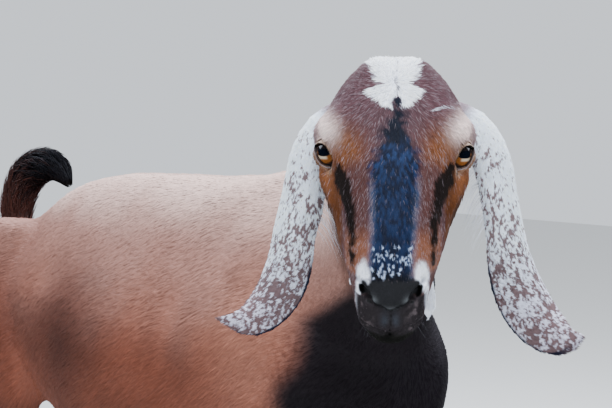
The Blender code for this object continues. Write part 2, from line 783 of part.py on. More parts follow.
def ear(name, stations, side):
    """A hanging ear: one sheet, curled lengthwise round its back and turned out at its tip."""
    rows = spline(stations, EAR_RINGS)
    centres = rows[:, 1:4] * np.array((side, 1, 1))
    ways = np.gradient(centres, axis=0)
    form = bmesh.new()
    lines = []
    for centre, way, (seen, curl, facing) in zip(centres, ways, rows[:, 4:]):
        down = Vector(way).normalized()
        front = (Vector((0, 1, 0)) - down * down.y).normalized()
        aside = down.cross(front) * side
        curl, facing = math.radians(curl), math.radians(facing)
        outer = math.sin(min(curl + facing, math.pi / 2))
        inner = math.sin(facing - curl)
        radius = 2 * seen / (outer - inner)
        hub = Vector(centre) - aside * (radius * (outer + inner) / 2)
        line = []
        for turn in np.linspace(facing - curl, facing + curl, EAR_ACROSS):
            bulge = math.cos(turn) - math.cos(facing)
            point = hub + aside * (radius * math.sin(turn)) + front * (radius * bulge)
            line.append(form.verts.new(FACE @ point))
        lines.append(line)
    for first, second in zip(lines, lines[1:]):
        for i in range(EAR_ACROSS - 1):
            form.faces.new((first[i], first[i + 1], second[i + 1], second[i]))
    if side < 0:
        bmesh.ops.reverse_faces(form, faces=form.faces)
    mesh = bpy.data.meshes.new(name)
    form.to_mesh(mesh)
    form.free()
    sheet = make_object(name, mesh)
    skin = sheet.modifiers.new("thickness", "SOLIDIFY")
    skin.thickness = EAR_THICK
    skin.offset = -1
    skin.use_even_offset = False
    applied(sheet)
    largest_piece(sheet)
    return sheet


def wattle(name, side):
    """A hair-covered lobe that hangs at the throat."""
    root = FACE @ Vector((side * WATTLE_ASIDE[name[-1]], -0.078, -0.066))
    length = WATTLE_LENGTH[name[-1]]
    rows = spline(
        (
            (0.00, 0.0050),
            (0.20, 0.0054),
            (0.60, 0.0070),
            (0.85, WATTLE_RADIUS),
            (0.96, 0.0066),
            (1.00, 0.0015),
        ),
        9,
    )
    turn = np.linspace(0, 2 * math.pi, 12, endpoint=False)
    rings = []
    for place, radius in rows:
        swing = Vector((side * 0.006 * place, 0.004 * place, -length * place))
        centre = root + FACE.to_3x3() @ swing
        ring = [centre + Vector((math.cos(a) * radius, math.sin(a) * radius, 0)) for a in turn]
        rings.append(ring)
    return loft(name, rings)


def eye(name, side):
    at = HEAD @ eye_frame(side).translation
    bpy.ops.mesh.primitive_uv_sphere_add(segments=18, ring_count=10, radius=EYE_RADIUS, location=(0, 0, 0))
    ball = bpy.context.object
    ball.name = name
    ball.data.transform(Matrix.Translation(at))
    return ball


# The tail from its root: place, along, aside and up, then the half width of its coat
TAIL_STATIONS = (
    (0.00, PIN_X + 0.026, 0.000, PIN_HEIGHT - 0.020, 0.022),
    (0.16, PIN_X - 0.012, 0.002, PIN_HEIGHT + 0.002, 0.024),
    (0.36, PIN_X - 0.020, 0.008, PIN_HEIGHT + 0.042, 0.027),
    (0.56, PIN_X - 0.004, 0.018, PIN_HEIGHT + 0.080, 0.029),
    (0.74, PIN_X + 0.026, 0.030, PIN_HEIGHT + 0.093, 0.026),
    (0.90, PIN_X + 0.054, 0.040, PIN_HEIGHT + 0.082, 0.017),
    (1.00, PIN_X + 0.070, 0.045, PIN_HEIGHT + 0.062, 0.004),
)


TAIL_CORE = 0.50
TAIL_PARTS_AT = 0.56
TAIL_LOCKS = 21
TAIL_SEED = 11
LOCK_WIDTH = 0.0135
LOCK_THICK = 0.0060
LOCK_SIDES = 5
# One lock from root to tip: place, share of the coat's depth, of its width and its thickness
LOCK_SHAPE = (
    (0.00, 0.10, 0.80, 1.00),
    (0.24, 0.66, 1.00, 1.00),
    (0.54, 0.90, 0.86, 0.80),
    (0.80, 0.99, 0.50, 0.50),
    (1.00, 1.10, 0.08, 0.12),
)


def tail_frames(count):
    """Places on the tail's middle line, each with its way ahead, a side, an up and a depth."""
    rows = spline(TAIL_STATIONS, count)
    frames = []
    for centre, way, depth in zip(rows[:, 1:4], np.gradient(rows[:, 1:4], axis=0), rows[:, 4]):
        ahead = Vector(way).normalized()
        side = Vector((0, 1, 0))
        side = (side - ahead * side.dot(ahead)).normalized()
        frames.append((Vector(centre), ahead, side, side.cross(ahead), depth))
    return frames


def tail_lock(frames, root, length, angle):
    """One flat tapered lock that follows the tail's bend, from its core out to the coat's face."""
    rings = []
    last = len(frames) - 1
    for place, rise, wide, thick in LOCK_SHAPE:
        centre, _, side, up, depth = frames[min(round((root + place * length) * last), last)]
        out = side * math.sin(angle) + up * math.cos(angle)
        across = side * math.cos(angle) - up * math.sin(angle)
        middle = centre + out * (depth * rise)
        taper = min(1.0, 0.35 + depth / 0.03)
        ring = []
        for corner in range(LOCK_SIDES):
            turn = 2 * math.pi * corner / LOCK_SIDES
            ring.append(
                middle
                + across * (math.cos(turn) * LOCK_WIDTH * wide * taper)
                + out * (math.sin(turn) * LOCK_THICK * thick * taper)
            )
        rings.append(ring)
    return loft("tail lock", rings)


def tail(name):
    """The raised tail, curling ahead over the rump: a core with overlapping locks of hair."""
    frames = tail_frames(61)
    turn = np.linspace(0, 2 * math.pi, 12, endpoint=False)
    rings = []
    for centre, _, side, up, depth in frames[: round(len(frames) * 0.86) : 4]:
        round_core = TAIL_CORE * depth
        ring = [centre + side * (math.sin(a) * round_core) + up * (math.cos(a) * round_core) for a in turn]
        rings.append(ring)
    whole = loft(name, rings)

    chance = np.random.default_rng(TAIL_SEED)
    locks = bpy.data.collections.new("tail locks")
    for number in range(TAIL_LOCKS):
        root = 0.01 + 0.74 * number / TAIL_LOCKS
        length = min(chance.uniform(0.34, 0.50), chance.uniform(0.90, 1.0) - root)
        lock = tail_lock(frames, root, length, number * 2.4 + chance.uniform(-0.3, 0.3))
        bpy.context.scene.collection.objects.unlink(lock)
        locks.objects.link(lock)
    union = whole.modifiers.new("locks", "BOOLEAN")
    union.operation = "UNION"
    union.operand_type = "COLLECTION"
    union.collection = locks
    union.solver = "EXACT"
    applied(whole)
    for lock in list(locks.objects):
        bpy.data.objects.remove(lock)
    bpy.data.collections.remove(locks)
    return largest_piece(whole)


def split_tail(whole):
    """Parts the tail across the top of its bend, so that each piece curves one way."""
    at, ahead, *_ = tail_frames(61)[round(60 * TAIL_PARTS_AT)]
    beyond = box_cutter("beyond", Vector((0, 0, 0)), (0.5, 0.5, 0.5))
    beyond.data.transform(Matrix.Translation((0, 0, 0.25)))
    beyond.data.transform(ahead.to_track_quat("Z", "Y").to_matrix().to_4x4())
    beyond.data.transform(Matrix.Translation(at))
    tip = copy_of(whole, "tail_tip")
    cut(tip, beyond, "INTERSECT")
    beyond.data.transform(Matrix.Translation(-ahead * GAP))
    root = cut(whole, beyond)
    root.name = "tail_root"
    bpy.data.objects.remove(beyond)
    return [largest_piece(root), largest_piece(tip)]


def udder(name):
    """A small dry udder with two teats, ahead of the hind legs."""
    bpy.ops.mesh.primitive_uv_sphere_add(segments=24, ring_count=14, radius=1, location=(0, 0, 0))
    bag = bpy.context.object
    bag.name = name
    bag.data.transform(Matrix.Diagonal((0.062, 0.050, 0.062, 1)))
    bag.data.transform(Matrix.Translation((-0.275, 0, 0.428)))
    teats = bpy.data.collections.new("teats")
    for side in (-1, 1):
        bpy.ops.mesh.primitive_cone_add(vertices=12, radius1=0.0075, radius2=0.0045, depth=0.040)
        teat = bpy.context.object
        teat.data.transform(Matrix.Rotation(math.pi, 4, "X"))
        teat.data.transform(Matrix.Rotation(math.radians(8 * side), 4, "X"))
        teat.data.transform(Matrix.Translation((-0.262, side * 0.026, 0.366)))
        teats.objects.link(teat)
    whole = bag.modifiers.new("teats", "BOOLEAN")
    whole.operation = "UNION"
    whole.operand_type = "COLLECTION"
    whole.collection = teats
    applied(bag)
    for teat in list(teats.objects):
        bpy.data.objects.remove(teat)
    return largest_piece(bag)


def clear_of(thing, *others):
    """Cuts a piece back from the pieces that it grows from, leaving a thin gap."""
    for other in others:
        bigger = grown(other, "grown", GAP)
        cut(thing, bigger)
        bpy.data.objects.remove(bigger)
    return largest_piece(thing)


def socket(head, ball):
    """The hollow of the head that holds an eye."""
    bigger = grown(ball, "socket", GAP)
    cut(head, bigger)
    bpy.data.objects.remove(bigger)


def stand_on_origin(things):
    """Moves all so that the middle of the box round them is over the origin, on the ground."""
    everything = np.vstack([points_of(thing) for thing in things])
    low, high = everything.min(axis=0), everything.max(axis=0)
    shift = Matrix.Translation((-(low[0] + high[0]) / 2, -(low[1] + high[1]) / 2, -low[2]))
    for thing in things:
        thing.data.transform(shift)


NODE_COLOURS = {
    "head": "chestnut",
    "neck": "chestnut",
    "torso": "chestnut",
    "foreleg": "black",
    "hindleg": "black",
    "hoof": "horn",
    "dewclaw": "horn",
    "ear": "roan",
    "wattle": "white",
    "eye": "eye",
    "tail": "black",
    "udder": "skin",
}


def build_goat():
    clear_scene()
    flesh = whole_flesh()
    head_skin = join([head_form(), neck_form()], "head skin")
    keep_side(head_skin, FACE @ Vector((0, -0.16, 0)), FACE.to_3x3() @ Vector((0, 1, 0.06)))
    fused(head_skin, HEAD_VOXEL, 6)
    head_detail(head_skin)
    thinned(head_skin, HEAD_TRIANGLES)
    fused(flesh, BODY_VOXEL, 9)
    body_detail(flesh)
    thinned(flesh, BODY_TRIANGLES)

    parts = part_flesh(flesh, head_skin)
    bpy.data.objects.remove(flesh)
    named = {part.name: part for part in parts}
    head, neck, torso = parts[:3]

    for side, word in ((1, "r"), (-1, "l")):
        ball = eye("eye_" + word, side)
        socket(head, ball)
        drop = wattle("wattle_" + word, side)
        clear_of(drop, neck, head)
        parts += [ball, drop]
    largest_piece(head)
    for side, word, stations in ((1, "r", EAR_R), (-1, "l", EAR_L)):
        parts.append(clear_of(ear("ear_" + word, stations, side), head))

    parts += split_tail(clear_of(tail("tail"), torso))
    parts.append(clear_of(udder("udder"), torso, named["hindleg_r"], named["hindleg_l"]))

    claws, horns = feet()
    parts += claws
    for leg, pair in horns.items():
        parts += [clear_of(horn, named[leg]) for horn in pair]

    stand_on_origin(parts)
    shelf = bpy.data.collections.new("goat")
    bpy.context.scene.collection.children.link(shelf)
    for part in parts:
        word = part.name.split("_")[0]
        part.data.materials.clear()
        part.data.materials.append(colour_material(NODE_COLOURS[word]))
        part.data.shade_smooth()
        part.data.set_sharp_from_angle(angle=math.radians(40))
        for place in list(part.users_collection):
            place.objects.unlink(part)
        shelf.objects.link(part)


build_goat()
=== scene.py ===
"""A Nubian doe dressed over her solids: skin, coat, eyes and hooves."""

import math

import bmesh
import bpy
import numpy as np
from mathutils import Matrix, Vector
from mathutils.bvhtree import BVHTree


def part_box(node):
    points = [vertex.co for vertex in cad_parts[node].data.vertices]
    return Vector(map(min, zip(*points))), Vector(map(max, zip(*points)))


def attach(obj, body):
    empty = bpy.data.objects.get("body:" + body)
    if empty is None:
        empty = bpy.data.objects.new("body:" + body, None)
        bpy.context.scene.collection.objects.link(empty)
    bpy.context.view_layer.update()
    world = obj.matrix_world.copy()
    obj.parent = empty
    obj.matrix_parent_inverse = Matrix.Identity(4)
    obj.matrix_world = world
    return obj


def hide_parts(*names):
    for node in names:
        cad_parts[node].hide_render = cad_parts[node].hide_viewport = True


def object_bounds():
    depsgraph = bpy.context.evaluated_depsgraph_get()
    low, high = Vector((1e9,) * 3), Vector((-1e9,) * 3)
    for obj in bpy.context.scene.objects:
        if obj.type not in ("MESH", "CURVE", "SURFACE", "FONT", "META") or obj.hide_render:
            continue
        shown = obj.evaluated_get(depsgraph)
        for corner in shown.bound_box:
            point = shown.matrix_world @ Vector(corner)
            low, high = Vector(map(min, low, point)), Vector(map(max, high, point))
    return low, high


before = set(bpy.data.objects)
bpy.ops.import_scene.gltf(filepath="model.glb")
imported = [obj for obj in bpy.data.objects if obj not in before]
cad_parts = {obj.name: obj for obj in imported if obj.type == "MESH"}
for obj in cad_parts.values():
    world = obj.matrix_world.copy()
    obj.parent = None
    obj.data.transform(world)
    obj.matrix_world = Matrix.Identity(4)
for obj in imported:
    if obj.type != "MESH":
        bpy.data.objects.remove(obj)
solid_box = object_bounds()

# The head's pose, as the solids have it
HEAD_TURN = math.radians(43)
HEAD_DIP = math.radians(44)
HEAD_ROLL = math.radians(-0.8)
# Where the face lies in the plan that the body's markings are measured in
FACE_IN_SOURCE = Vector((0.52, -0.157, 0.811))

# The right eye in the head's frame: its ball's middle, the way its lids face, the way from
# their outer corner to the inner one, and the way it looks
EYE_RADIUS = 0.0142
EYE_AT = Vector((0.0562, -0.0026, -0.0002))
EYE_WAY = Vector((0.649, 0.687, 0.327))
EYE_CORNERS = Vector((-0.680, 0.717, -0.156))
GAZE = Vector((0.500, 0.6227, 0.6019))
LID_THICK = 0.0021

# Finish of the skin's mesh
SEAM_OVERLAP = 0.0004
SKIN_VOXEL = 0.0075
EAR_VOXEL = 0.0013
WATTLE_VOXEL = 0.0014
EAR_UNDER_COAT = 0.0005
WATTLE_UNDER_COAT = 0.0009
HEAD_BEHIND = -0.100
EYE_ZONE = 0.023
NOSTRIL_ZONE = 0.009
MOUTH_ZONE = 0.005

# Spacing between the roots of the coat's tufts, then the length and width of the hair
FACE_SPACING = 0.00120
FACE_HAIR = (0.0075, 0.00056)
EAR_SPACING = 0.00112
EAR_HAIR = (0.0040, 0.00074)
POLL_SPACING = 0.00140
POLL_HAIR = (0.0085, 0.00085)
WISP_SPACING = 0.0028
WISP_WIDE = 0.00042
WATTLE_SPACING = 0.0013
WATTLE_HAIR = (0.0050, 0.0009)

# The camera, from the photograph: lens and film in millimetres, turn, tilt, how far it stands off
# and where it has the face
LENS = 85
FILM_WIDTH = 36
CAMERA_TURN = math.radians(39)
CAMERA_TILT = math.radians(4)
CAMERA_AWAY = 1.30
FACE_RIGHT_OF_MIDDLE = 0.0609
FACE_ABOVE_MIDDLE = 0.0339

SEED = 20
COARSE = 1.0


def smoothstep(low, high, value):
    t = np.clip((value - low) / (high - low), 0, 1)
    return t * t * (3 - 2 * t)


def bump(value, middle, width):
    return np.exp(-(((value - middle) / width) ** 2))


def spot(side, up, at, size):
    """A soft round share, one at its middle."""
    return np.exp(-(((side - at[0]) / size[0]) ** 2) - ((up - at[1]) / size[1]) ** 2)


def blend(first, second, share):
    """Colours laid over each other, one share for each point."""
    share = np.clip(np.asarray(share), 0, 1)[:, None]
    return first * (1 - share) + np.asarray(second) * share


def cloud(points, size, seed=0):
    """Soft noise from 0 to 1 over points in space, in lumps of that size."""
    at = np.asarray(points) / size
    cell = np.floor(at).astype(np.int64)
    part = at - cell
    part = part * part * (3 - 2 * part)
    total = np.zeros(len(at))
    for corner in range(8):
        step = np.array((corner & 1, corner >> 1 & 1, corner >> 2))
        key = cell + step
        mixed = key[:, 0] * 73856093 ^ key[:, 1] * 19349663 ^ key[:, 2] * 83492791 ^ seed * 2654435761
        mixed = (mixed ^ mixed >> 13) * 1274126177
        value = (mixed & 0xFFFFFF) / 0xFFFFFF
        weight = np.prod(np.where(step, part, 1 - part), axis=1)
        total += weight * value
    return total


def spline(rows, count):
    """The rows of named sizes, read smoothly at count places."""
    rows = np.array(rows, float)
    key = rows[:, 0]
    slope = np.gradient(rows, key, axis=0)
    at = np.linspace(key[0], key[-1], count)
    cell = np.clip(np.searchsorted(key, at) - 1, 0, len(key) - 2)
    span = (key[cell + 1] - key[cell])[:, None]
    t = ((at - key[cell])[:, None]) / span
    return (
        rows[cell] * (1 + 2 * t) * (1 - t) ** 2
        + slope[cell] * span * t * (1 - t) ** 2
        + rows[cell + 1] * t * t * (3 - 2 * t)
        + slope[cell + 1] * span * t * t * (t - 1)
    )


def middle(node):
    low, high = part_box(node)
    return (Vector(low) + Vector(high)) / 2


def turned(turn, dip, roll):
    """A frame whose x is the goat's right, y its nose's way and z its crown's."""
    ahead = Vector((math.cos(turn), -math.sin(turn), 0))
    right = Vector((-math.sin(turn), -math.cos(turn), 0))
    right = Matrix.Rotation(roll, 3, ahead) @ right
    down = ahead.cross(right)
    nose = ahead * math.cos(dip) + down * math.sin(dip)
    return Matrix((right, nose, right.cross(nose))).transposed().to_4x4()


HEAD = turned(HEAD_TURN, HEAD_DIP, HEAD_ROLL)
EYES_MIDDLE = HEAD.to_3x3() @ Vector((0, EYE_AT.y, EYE_AT.z))
HEAD.translation = (middle("eye_r") + middle("eye_l")) / 2 - EYES_MIDDLE
FACE = turned(HEAD_TURN, 0.0, 0.0)
FACE.translation = HEAD.translation
# How far the solids stand from that plan
SHIFT = np.array(FACE.translation - FACE_IN_SOURCE)


def into(place, points):
    """Points of the world as the frame sees them."""
    back = np.array(place.inverted())
    return points @ back[:3, :3].T + back[:3, 3]


def out_of(place, points):
    ahead = np.array(place)
    return points @ ahead[:3, :3].T + ahead[:3, 3]


def ways_out_of(place, ways):
    return ways @ np.array(place)[:3, :3].T


def unit(vectors):
    return vectors / np.maximum(np.linalg.norm(vectors, axis=-1, keepdims=True), 1e-9)


def gathered(items, key, kind=np.float32, wide=3):
    """One value of every point, edge or face of a mesh, as the rows of an array."""
    rows = np.empty(len(items) * wide, kind)
    items.foreach_get(key, rows)
    rows = rows.reshape(-1, wide)
    return rows.astype(float) if kind == np.float32 else rows


def points_of(mesh):
    return gathered(mesh.vertices, "co")


def normals_of(mesh):
    return gathered(mesh.vertices, "normal")


def set_points(mesh, points):
    mesh.vertices.foreach_set("co", points.astype(np.float32).ravel())
    mesh.update()


def triangles_of(mesh):
    mesh.calc_loop_triangles()
    return gathered(mesh.loop_triangles, "vertices", np.int32)


def make_object(name, mesh):
    made = bpy.data.objects.new(name, mesh)
    bpy.context.scene.collection.objects.link(made)
    return made


def applied(thing):
    """The object with its modifiers made real."""
    bpy.context.view_layer.update()
    graph = bpy.context.evaluated_depsgraph_get()
    mesh = bpy.data.meshes.new_from_object(thing.evaluated_get(graph))
    thing.modifiers.clear()
    thing.data = mesh
    return thing


def joined_nodes(name, nodes, outward):
    """One object of copies of the nodes' meshes, pushed out a little so that they overlap."""
    form = bmesh.new()
    for node in nodes:
        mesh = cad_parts[node].data.copy()
        set_points(mesh, points_of(mesh) + normals_of(mesh) * outward)
        form.from_mesh(mesh)
        bpy.data.meshes.remove(mesh)
    mesh = bpy.data.meshes.new(name)
    form.to_mesh(mesh)
    form.free()
    return make_object(name, mesh)


def fused(thing, voxel, rounds):
    """Overlapping forms grown into one soft skin."""
    remesh = thing.modifiers.new("grow together", "REMESH")
    remesh.mode = "VOXEL"
    remesh.voxel_size = voxel
    soften = thing.modifiers.new("soften", "SMOOTH")
    soften.factor = 0.5
    soften.iterations = rounds
    return applied(thing)


def finer(thing, wanted, cuts):
    """Splits the faces whose middle the test picks."""
    mesh = thing.data
    picked = wanted(gathered(mesh.polygons, "center"))
    form = bmesh.new()
    form.from_mesh(mesh)
    edges = {edge for face, pick in zip(form.faces, picked) if pick for edge in face.edges}
    bmesh.ops.subdivide_edges(form, edges=list(edges), cuts=cuts, use_grid_fill=True)
    form.to_mesh(mesh)
    form.free()
    mesh.update()


def softened(mesh, points, rounds, share):
    """Each point drawn to the middle of its neighbours, by its share."""
    first, second = gathered(mesh.edges, "vertices", np.int32, 2).T
    count = np.bincount(first, minlength=len(points)) + np.bincount(second, minlength=len(points))
    count = np.maximum(count, 1)[:, None]
    for _ in range(rounds):
        total = np.zeros_like(points)
        for axis in range(3):
            total[:, axis] = np.bincount(first, points[second, axis], len(points))
            total[:, axis] += np.bincount(second, points[first, axis], len(points))
        points = points + (total / count - points) * share[:, None]
    return points


def swell(points, normals, at, radius, height):
    """Raises a soft mound of that radius, or sinks one where height is below zero."""
    near = np.linalg.norm((points - np.array(at)) / np.array(radius), axis=1)
    return points + normals * (height * np.exp(-2 * near**2))[:, None]


def dense_line(line, count=24):
    """A few points of a crease made into many, on a smooth curve."""
    line = np.array(line, float)
    return spline(np.column_stack([np.linspace(0, 1, len(line)), line]), count)[:, 1:]


def reach_of(points, line):
    """How far each point is from a line of many points."""
    reach = np.full(len(points), 1e9)
    for point in line:
        reach = np.minimum(reach, np.linalg.norm(points - point, axis=1))
    return reach


def crease(points, normals, line, width, depth):
    """Presses a soft groove of that depth along a line of points."""
    pressed = depth * np.exp(-((reach_of(points, line) / width) ** 2))
    return points - normals * pressed[:, None]


def soft_max(first, second, fade):
    return (first + second + np.sqrt((first - second) ** 2 + fade**2)) / 2


# Lines of the muzzle on its right side: crosswise, along the nose and up the crown
MUZZLE_LINES = {
    "mouth": (
        (0.0000, 0.1605, -0.0540),
        (0.0107, 0.1615, -0.0485),
        (0.0200, 0.1580, -0.0445),
        (0.0270, 0.1500, -0.0425),
        (0.0310, 0.1350, -0.0460),
        (0.0335, 0.1050, -0.0520),
    ),
    "nostril": (
        (0.0190, 0.1505, -0.0165),
        (0.0212, 0.1470, -0.0138),
        (0.0238, 0.1432, -0.0110),
        (0.0268, 0.1370, -0.0090),
    ),
    "pad": (
        (0.0185, 0.1515, -0.0175),
        (0.0130, 0.1560, -0.0205),
        (0.0065, 0.1600, -0.0218),
        (0.0000, 0.1620, -0.0252),
    ),
    "cleft": (
        (0.0000, 0.1622, -0.0275),
        (0.0000, 0.1625, -0.0400),
        (0.0000, 0.1610, -0.0510),
    ),
}
# How wide and how deep each line is pressed
CREASES = {
    "mouth": (0.0013, 0.0016),
    "nostril": (0.0024, 0.0050),
    "pad": (0.0015, 0.0020),
    "cleft": (0.0010, 0.0014),
}
WHORL_AT = (0.0010, -0.0440, 0.0510)
# How many of the nostril line's points lie in the open hole
NOSTRIL_OPEN = 17

# Folds and mounds that the short coat shows: name, place, radii, height
FOLDS = (
    ("brow roll", (0.060, -0.012, 0.022), (0.014, 0.022, 0.008), 0.0014),
    ("inner corner", (0.046, 0.020, -0.005), (0.006, 0.009, 0.006), -0.0012),
    ("under lid", (0.058, 0.016, -0.020), (0.012, 0.016, 0.006), 0.0012),
    ("tear line", (0.045, 0.042, -0.008), (0.007, 0.020, 0.006), -0.0014),
    ("wing", (0.0265, 0.1450, -0.0080), (0.006, 0.007, 0.008), 0.0016),
    ("inner wing", (0.0165, 0.1530, -0.0130), (0.005, 0.006, 0.005), 0.0012),
    ("pad", (0.000, 0.158, -0.014), (0.014, 0.010, 0.012), 0.0010),
    ("lip", (0.010, 0.160, -0.036), (0.008, 0.010, 0.009), 0.0014),
    ("chin", (0.006, 0.150, -0.066), (0.014, 0.010, 0.008), 0.0012),
)

# The lids' margins in the eye's frame: place from the outer to the inner corner, then the
# heights of the upper and the lower margin
LID_MARGINS = (
    (-0.0130, -0.0005, -0.0005),
    (-0.0100, 0.0058, -0.0003),
    (-0.0053, 0.0092, -0.0005),
    (-0.0004, 0.0101, -0.0032),
    (0.0045, 0.0086, -0.0052),
    (0.0090, 0.0056, -0.0048),
    (0.0118, 0.0025, -0.0034),
    (0.0134, -0.0012, -0.0014),
)


def eye_frame(side):
    """The eye's own frame in the head: x out between the lids, y to the inner corner, z up."""
    flip = Matrix.Diagonal((side, 1, 1))
    out = (flip @ EYE_WAY).normalized()
    inward = flip @ EYE_CORNERS
    inward = (inward - out * inward.dot(out)).normalized()
    made = Matrix((out, inward, out.cross(inward) * side)).transposed().to_4x4()
    made.translation = flip @ EYE_AT
    return made


def past_margin(along, up):
    """How far places in the eye's frame lie outside the opening between the lids."""
    place, upper, lower = np.array(LID_MARGINS).T
    past = np.maximum(up - np.interp(along, place, upper), np.interp(along, place, lower) - up)
    outer = np.hypot(along - place[0], up - upper[0])
    inner = np.hypot(along - place[-1], up - upper[-1])
    return np.where(along < place[0], outer, np.where(along > place[-1], inner, past))


def lids(points, side):
    """Draws the skin over the eyeball, and open between the margins of the two lids."""
    place = eye_frame(side)
    local = into(place, points)
    out, along, up = local.T
    reach = np.hypot(along, up)
    cover = EYE_RADIUS + LID_THICK
    shell = np.sqrt(np.maximum(cover**2 - reach**2, 0)) - 2 * np.maximum(reach - cover, 0)
    rim = smoothstep(EYE_RADIUS * 0.75, EYE_RADIUS * 1.15, reach)
    drawn = shell * (1 - rim) + soft_max(out, shell, 0.002) * rim
    past = past_margin(along, up)
    upper = smoothstep(0.000, 0.006, up) * smoothstep(0.009, -0.001, along)
    drawn = drawn - 0.0022 * bump(past, 0.0048, 0.0010) * upper
    drawn = drawn + 0.0009 * bump(past, 0.0072, 0.0018) * upper
    lower = smoothstep(0.000, -0.004, up)
    drawn = drawn - 0.0008 * (bump(past, 0.0040, 0.0007) + bump(past, 0.0075, 0.0009)) * lower
    drawn = drawn + 0.0005 * bump(past, 0.0012, 0.0010)
    opened = 1 - smoothstep(-0.0003, 0.0006, past)
    sunk = np.minimum(drawn, shell - 0.0062)
    drawn = drawn * (1 - opened) + sunk * opened
    near = (out > -0.004) & (reach < 0.030)
    local[:, 0] = np.where(near, drawn, out)
    return out_of(place, local)


def search_tree(mesh, place=None):
    corners = points_of(mesh)
    if place is not None:
        corners = into(place, corners)
    faces = [list(face.vertices) for face in mesh.polygons]
    return BVHTree.FromPolygons([Vector(corner) for corner in corners], faces)


def lines_on(mesh):
    """The muzzle's lines on both sides, laid on the skin, in the head's frame."""
    tree = search_tree(mesh, HEAD)
    laid_lines = {}
    for name, line in MUZZLE_LINES.items():
        for side in (1, -1):
            dense = dense_line(np.array(line) * (side, 1, 1))
            found = np.array([tree.find_nearest(Vector(point))[0] for point in dense])
            for _ in range(6):
                found[1:-1] = (found[:-2] + 2 * found[1:-1] + found[2:]) / 4
            laid_lines[name, side] = found
    return laid_lines


def sculpted(points, normals, lines):
    """The face's folds, lids, nostrils and lips, in the head's own frame."""
    shaped = points.copy()
    for side in (1, -1):
        flip = np.array((side, 1, 1))
        for _, at, radius, height in FOLDS:
            shaped = swell(shaped, normals, np.array(at) * flip, radius, height)
    for (name, side), line in lines.items():
        if name != "cleft" or side == 1:
            width, depth = CREASES[name]
            shaped = crease(shaped, normals, line, width, depth)
    for side in (1, -1):
        shaped = lids(shaped, side)
    return shaped


FLESH = ["head", "neck", "torso", "foreleg_r", "foreleg_l", "hindleg_r", "hindleg_l", "udder"]


def coat_depth(points):
    """How far the skin lies under the coat's face."""
    face = into(FACE, points)
    head = into(HEAD, points)
    depth = 0.0012 + 0.0018 * smoothstep(0.30, 0.50, points[:, 2])
    on_head = smoothstep(-0.16, -0.08, face[:, 1])
    depth = depth + (0.0013 - depth) * on_head
    return depth - on_head * 0.0006 * smoothstep(0.02, 0.13, head[:, 1])


def surface_of(nodes):
    """A search tree over the faces of some nodes."""
    corners, faces, start = [], [], 0
    for node in nodes:
        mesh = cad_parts[node].data
        corners += [vertex.co.copy() for vertex in mesh.vertices]
        faces += [[start + i for i in face.vertices] for face in mesh.polygons]
        start = len(corners)
    return BVHTree.FromPolygons(corners, faces)


def in_head(points):
    return into(FACE, points)[:, 1] > HEAD_BEHIND


def in_detail(points, zone=1.0):
    """Where the head needs its finest mesh: round the eyes, the nostrils and the mouth."""
    head = into(HEAD, points)
    near = np.zeros(len(points), bool)
    for side in (1, -1):
        eye = np.array(eye_frame(side).translation)
        near |= np.linalg.norm(head - eye, axis=1) < EYE_ZONE * zone
        nostril = dense_line(np.array(MUZZLE_LINES["nostril"]) * (side, 1, 1))
        near |= reach_of(head, nostril) < NOSTRIL_ZONE * zone
        mouth = dense_line(np.array(MUZZLE_LINES["mouth"][:4]) * (side, 1, 1))
        near |= reach_of(head, mouth) < MOUTH_ZONE * zone
    return near


def make_skin():
    """One skin for head, neck, trunk, legs and udder, finer on the head, with the muzzle's lines."""
    skin = joined_nodes("skin", [*FLESH, "eye_r", "eye_l"], SEAM_OVERLAP)
    fused(skin, SKIN_VOXEL, 5)
    finer(skin, in_head, 3)
    finer(skin, lambda points: in_head(points) & in_detail(points), 1)
    finer(skin, lambda points: in_head(points) & in_detail(points, 0.76), 1)
    mesh = skin.data
    points = points_of(mesh)
    on_head = smoothstep(HEAD_BEHIND - 0.004, HEAD_BEHIND + 0.016, into(FACE, points)[:, 1])
    on_legs = smoothstep(0.42, 0.36, points[:, 2])
    weight = np.maximum(on_head, on_legs)
    tree = surface_of([*FLESH, "eye_r", "eye_l"])
    drawn = points.copy()
    for i in np.nonzero(weight > 0)[0]:
        drawn[i] = tree.find_nearest(points[i])[0]
    points = points + (drawn - points) * weight[:, None]
    points = softened(mesh, points, 5, 0.5 * weight)
    points = softened(mesh, points, 14, 0.5 * (in_head(points) & in_detail(points)))
    set_points(mesh, points)
    normals = normals_of(mesh)
    set_points(mesh, points - normals * coat_depth(points)[:, None])
    head = into(HEAD, points_of(mesh))
    shaped = sculpted(head, normals @ np.array(HEAD)[:3, :3], lines_on(mesh))
    set_points(mesh, out_of(HEAD, head + (shaped - head) * on_head[:, None]))
    mesh.shade_smooth()
    return skin, lines_on(mesh)


def make_ear_skin(word):
    skin = joined_nodes("ear_skin_" + word, ["ear_" + word], 0.0)
    fused(skin, EAR_VOXEL, 3)
    mesh = skin.data
    set_points(mesh, points_of(mesh) - normals_of(mesh) * EAR_UNDER_COAT)
    mesh.shade_smooth()
    return skin


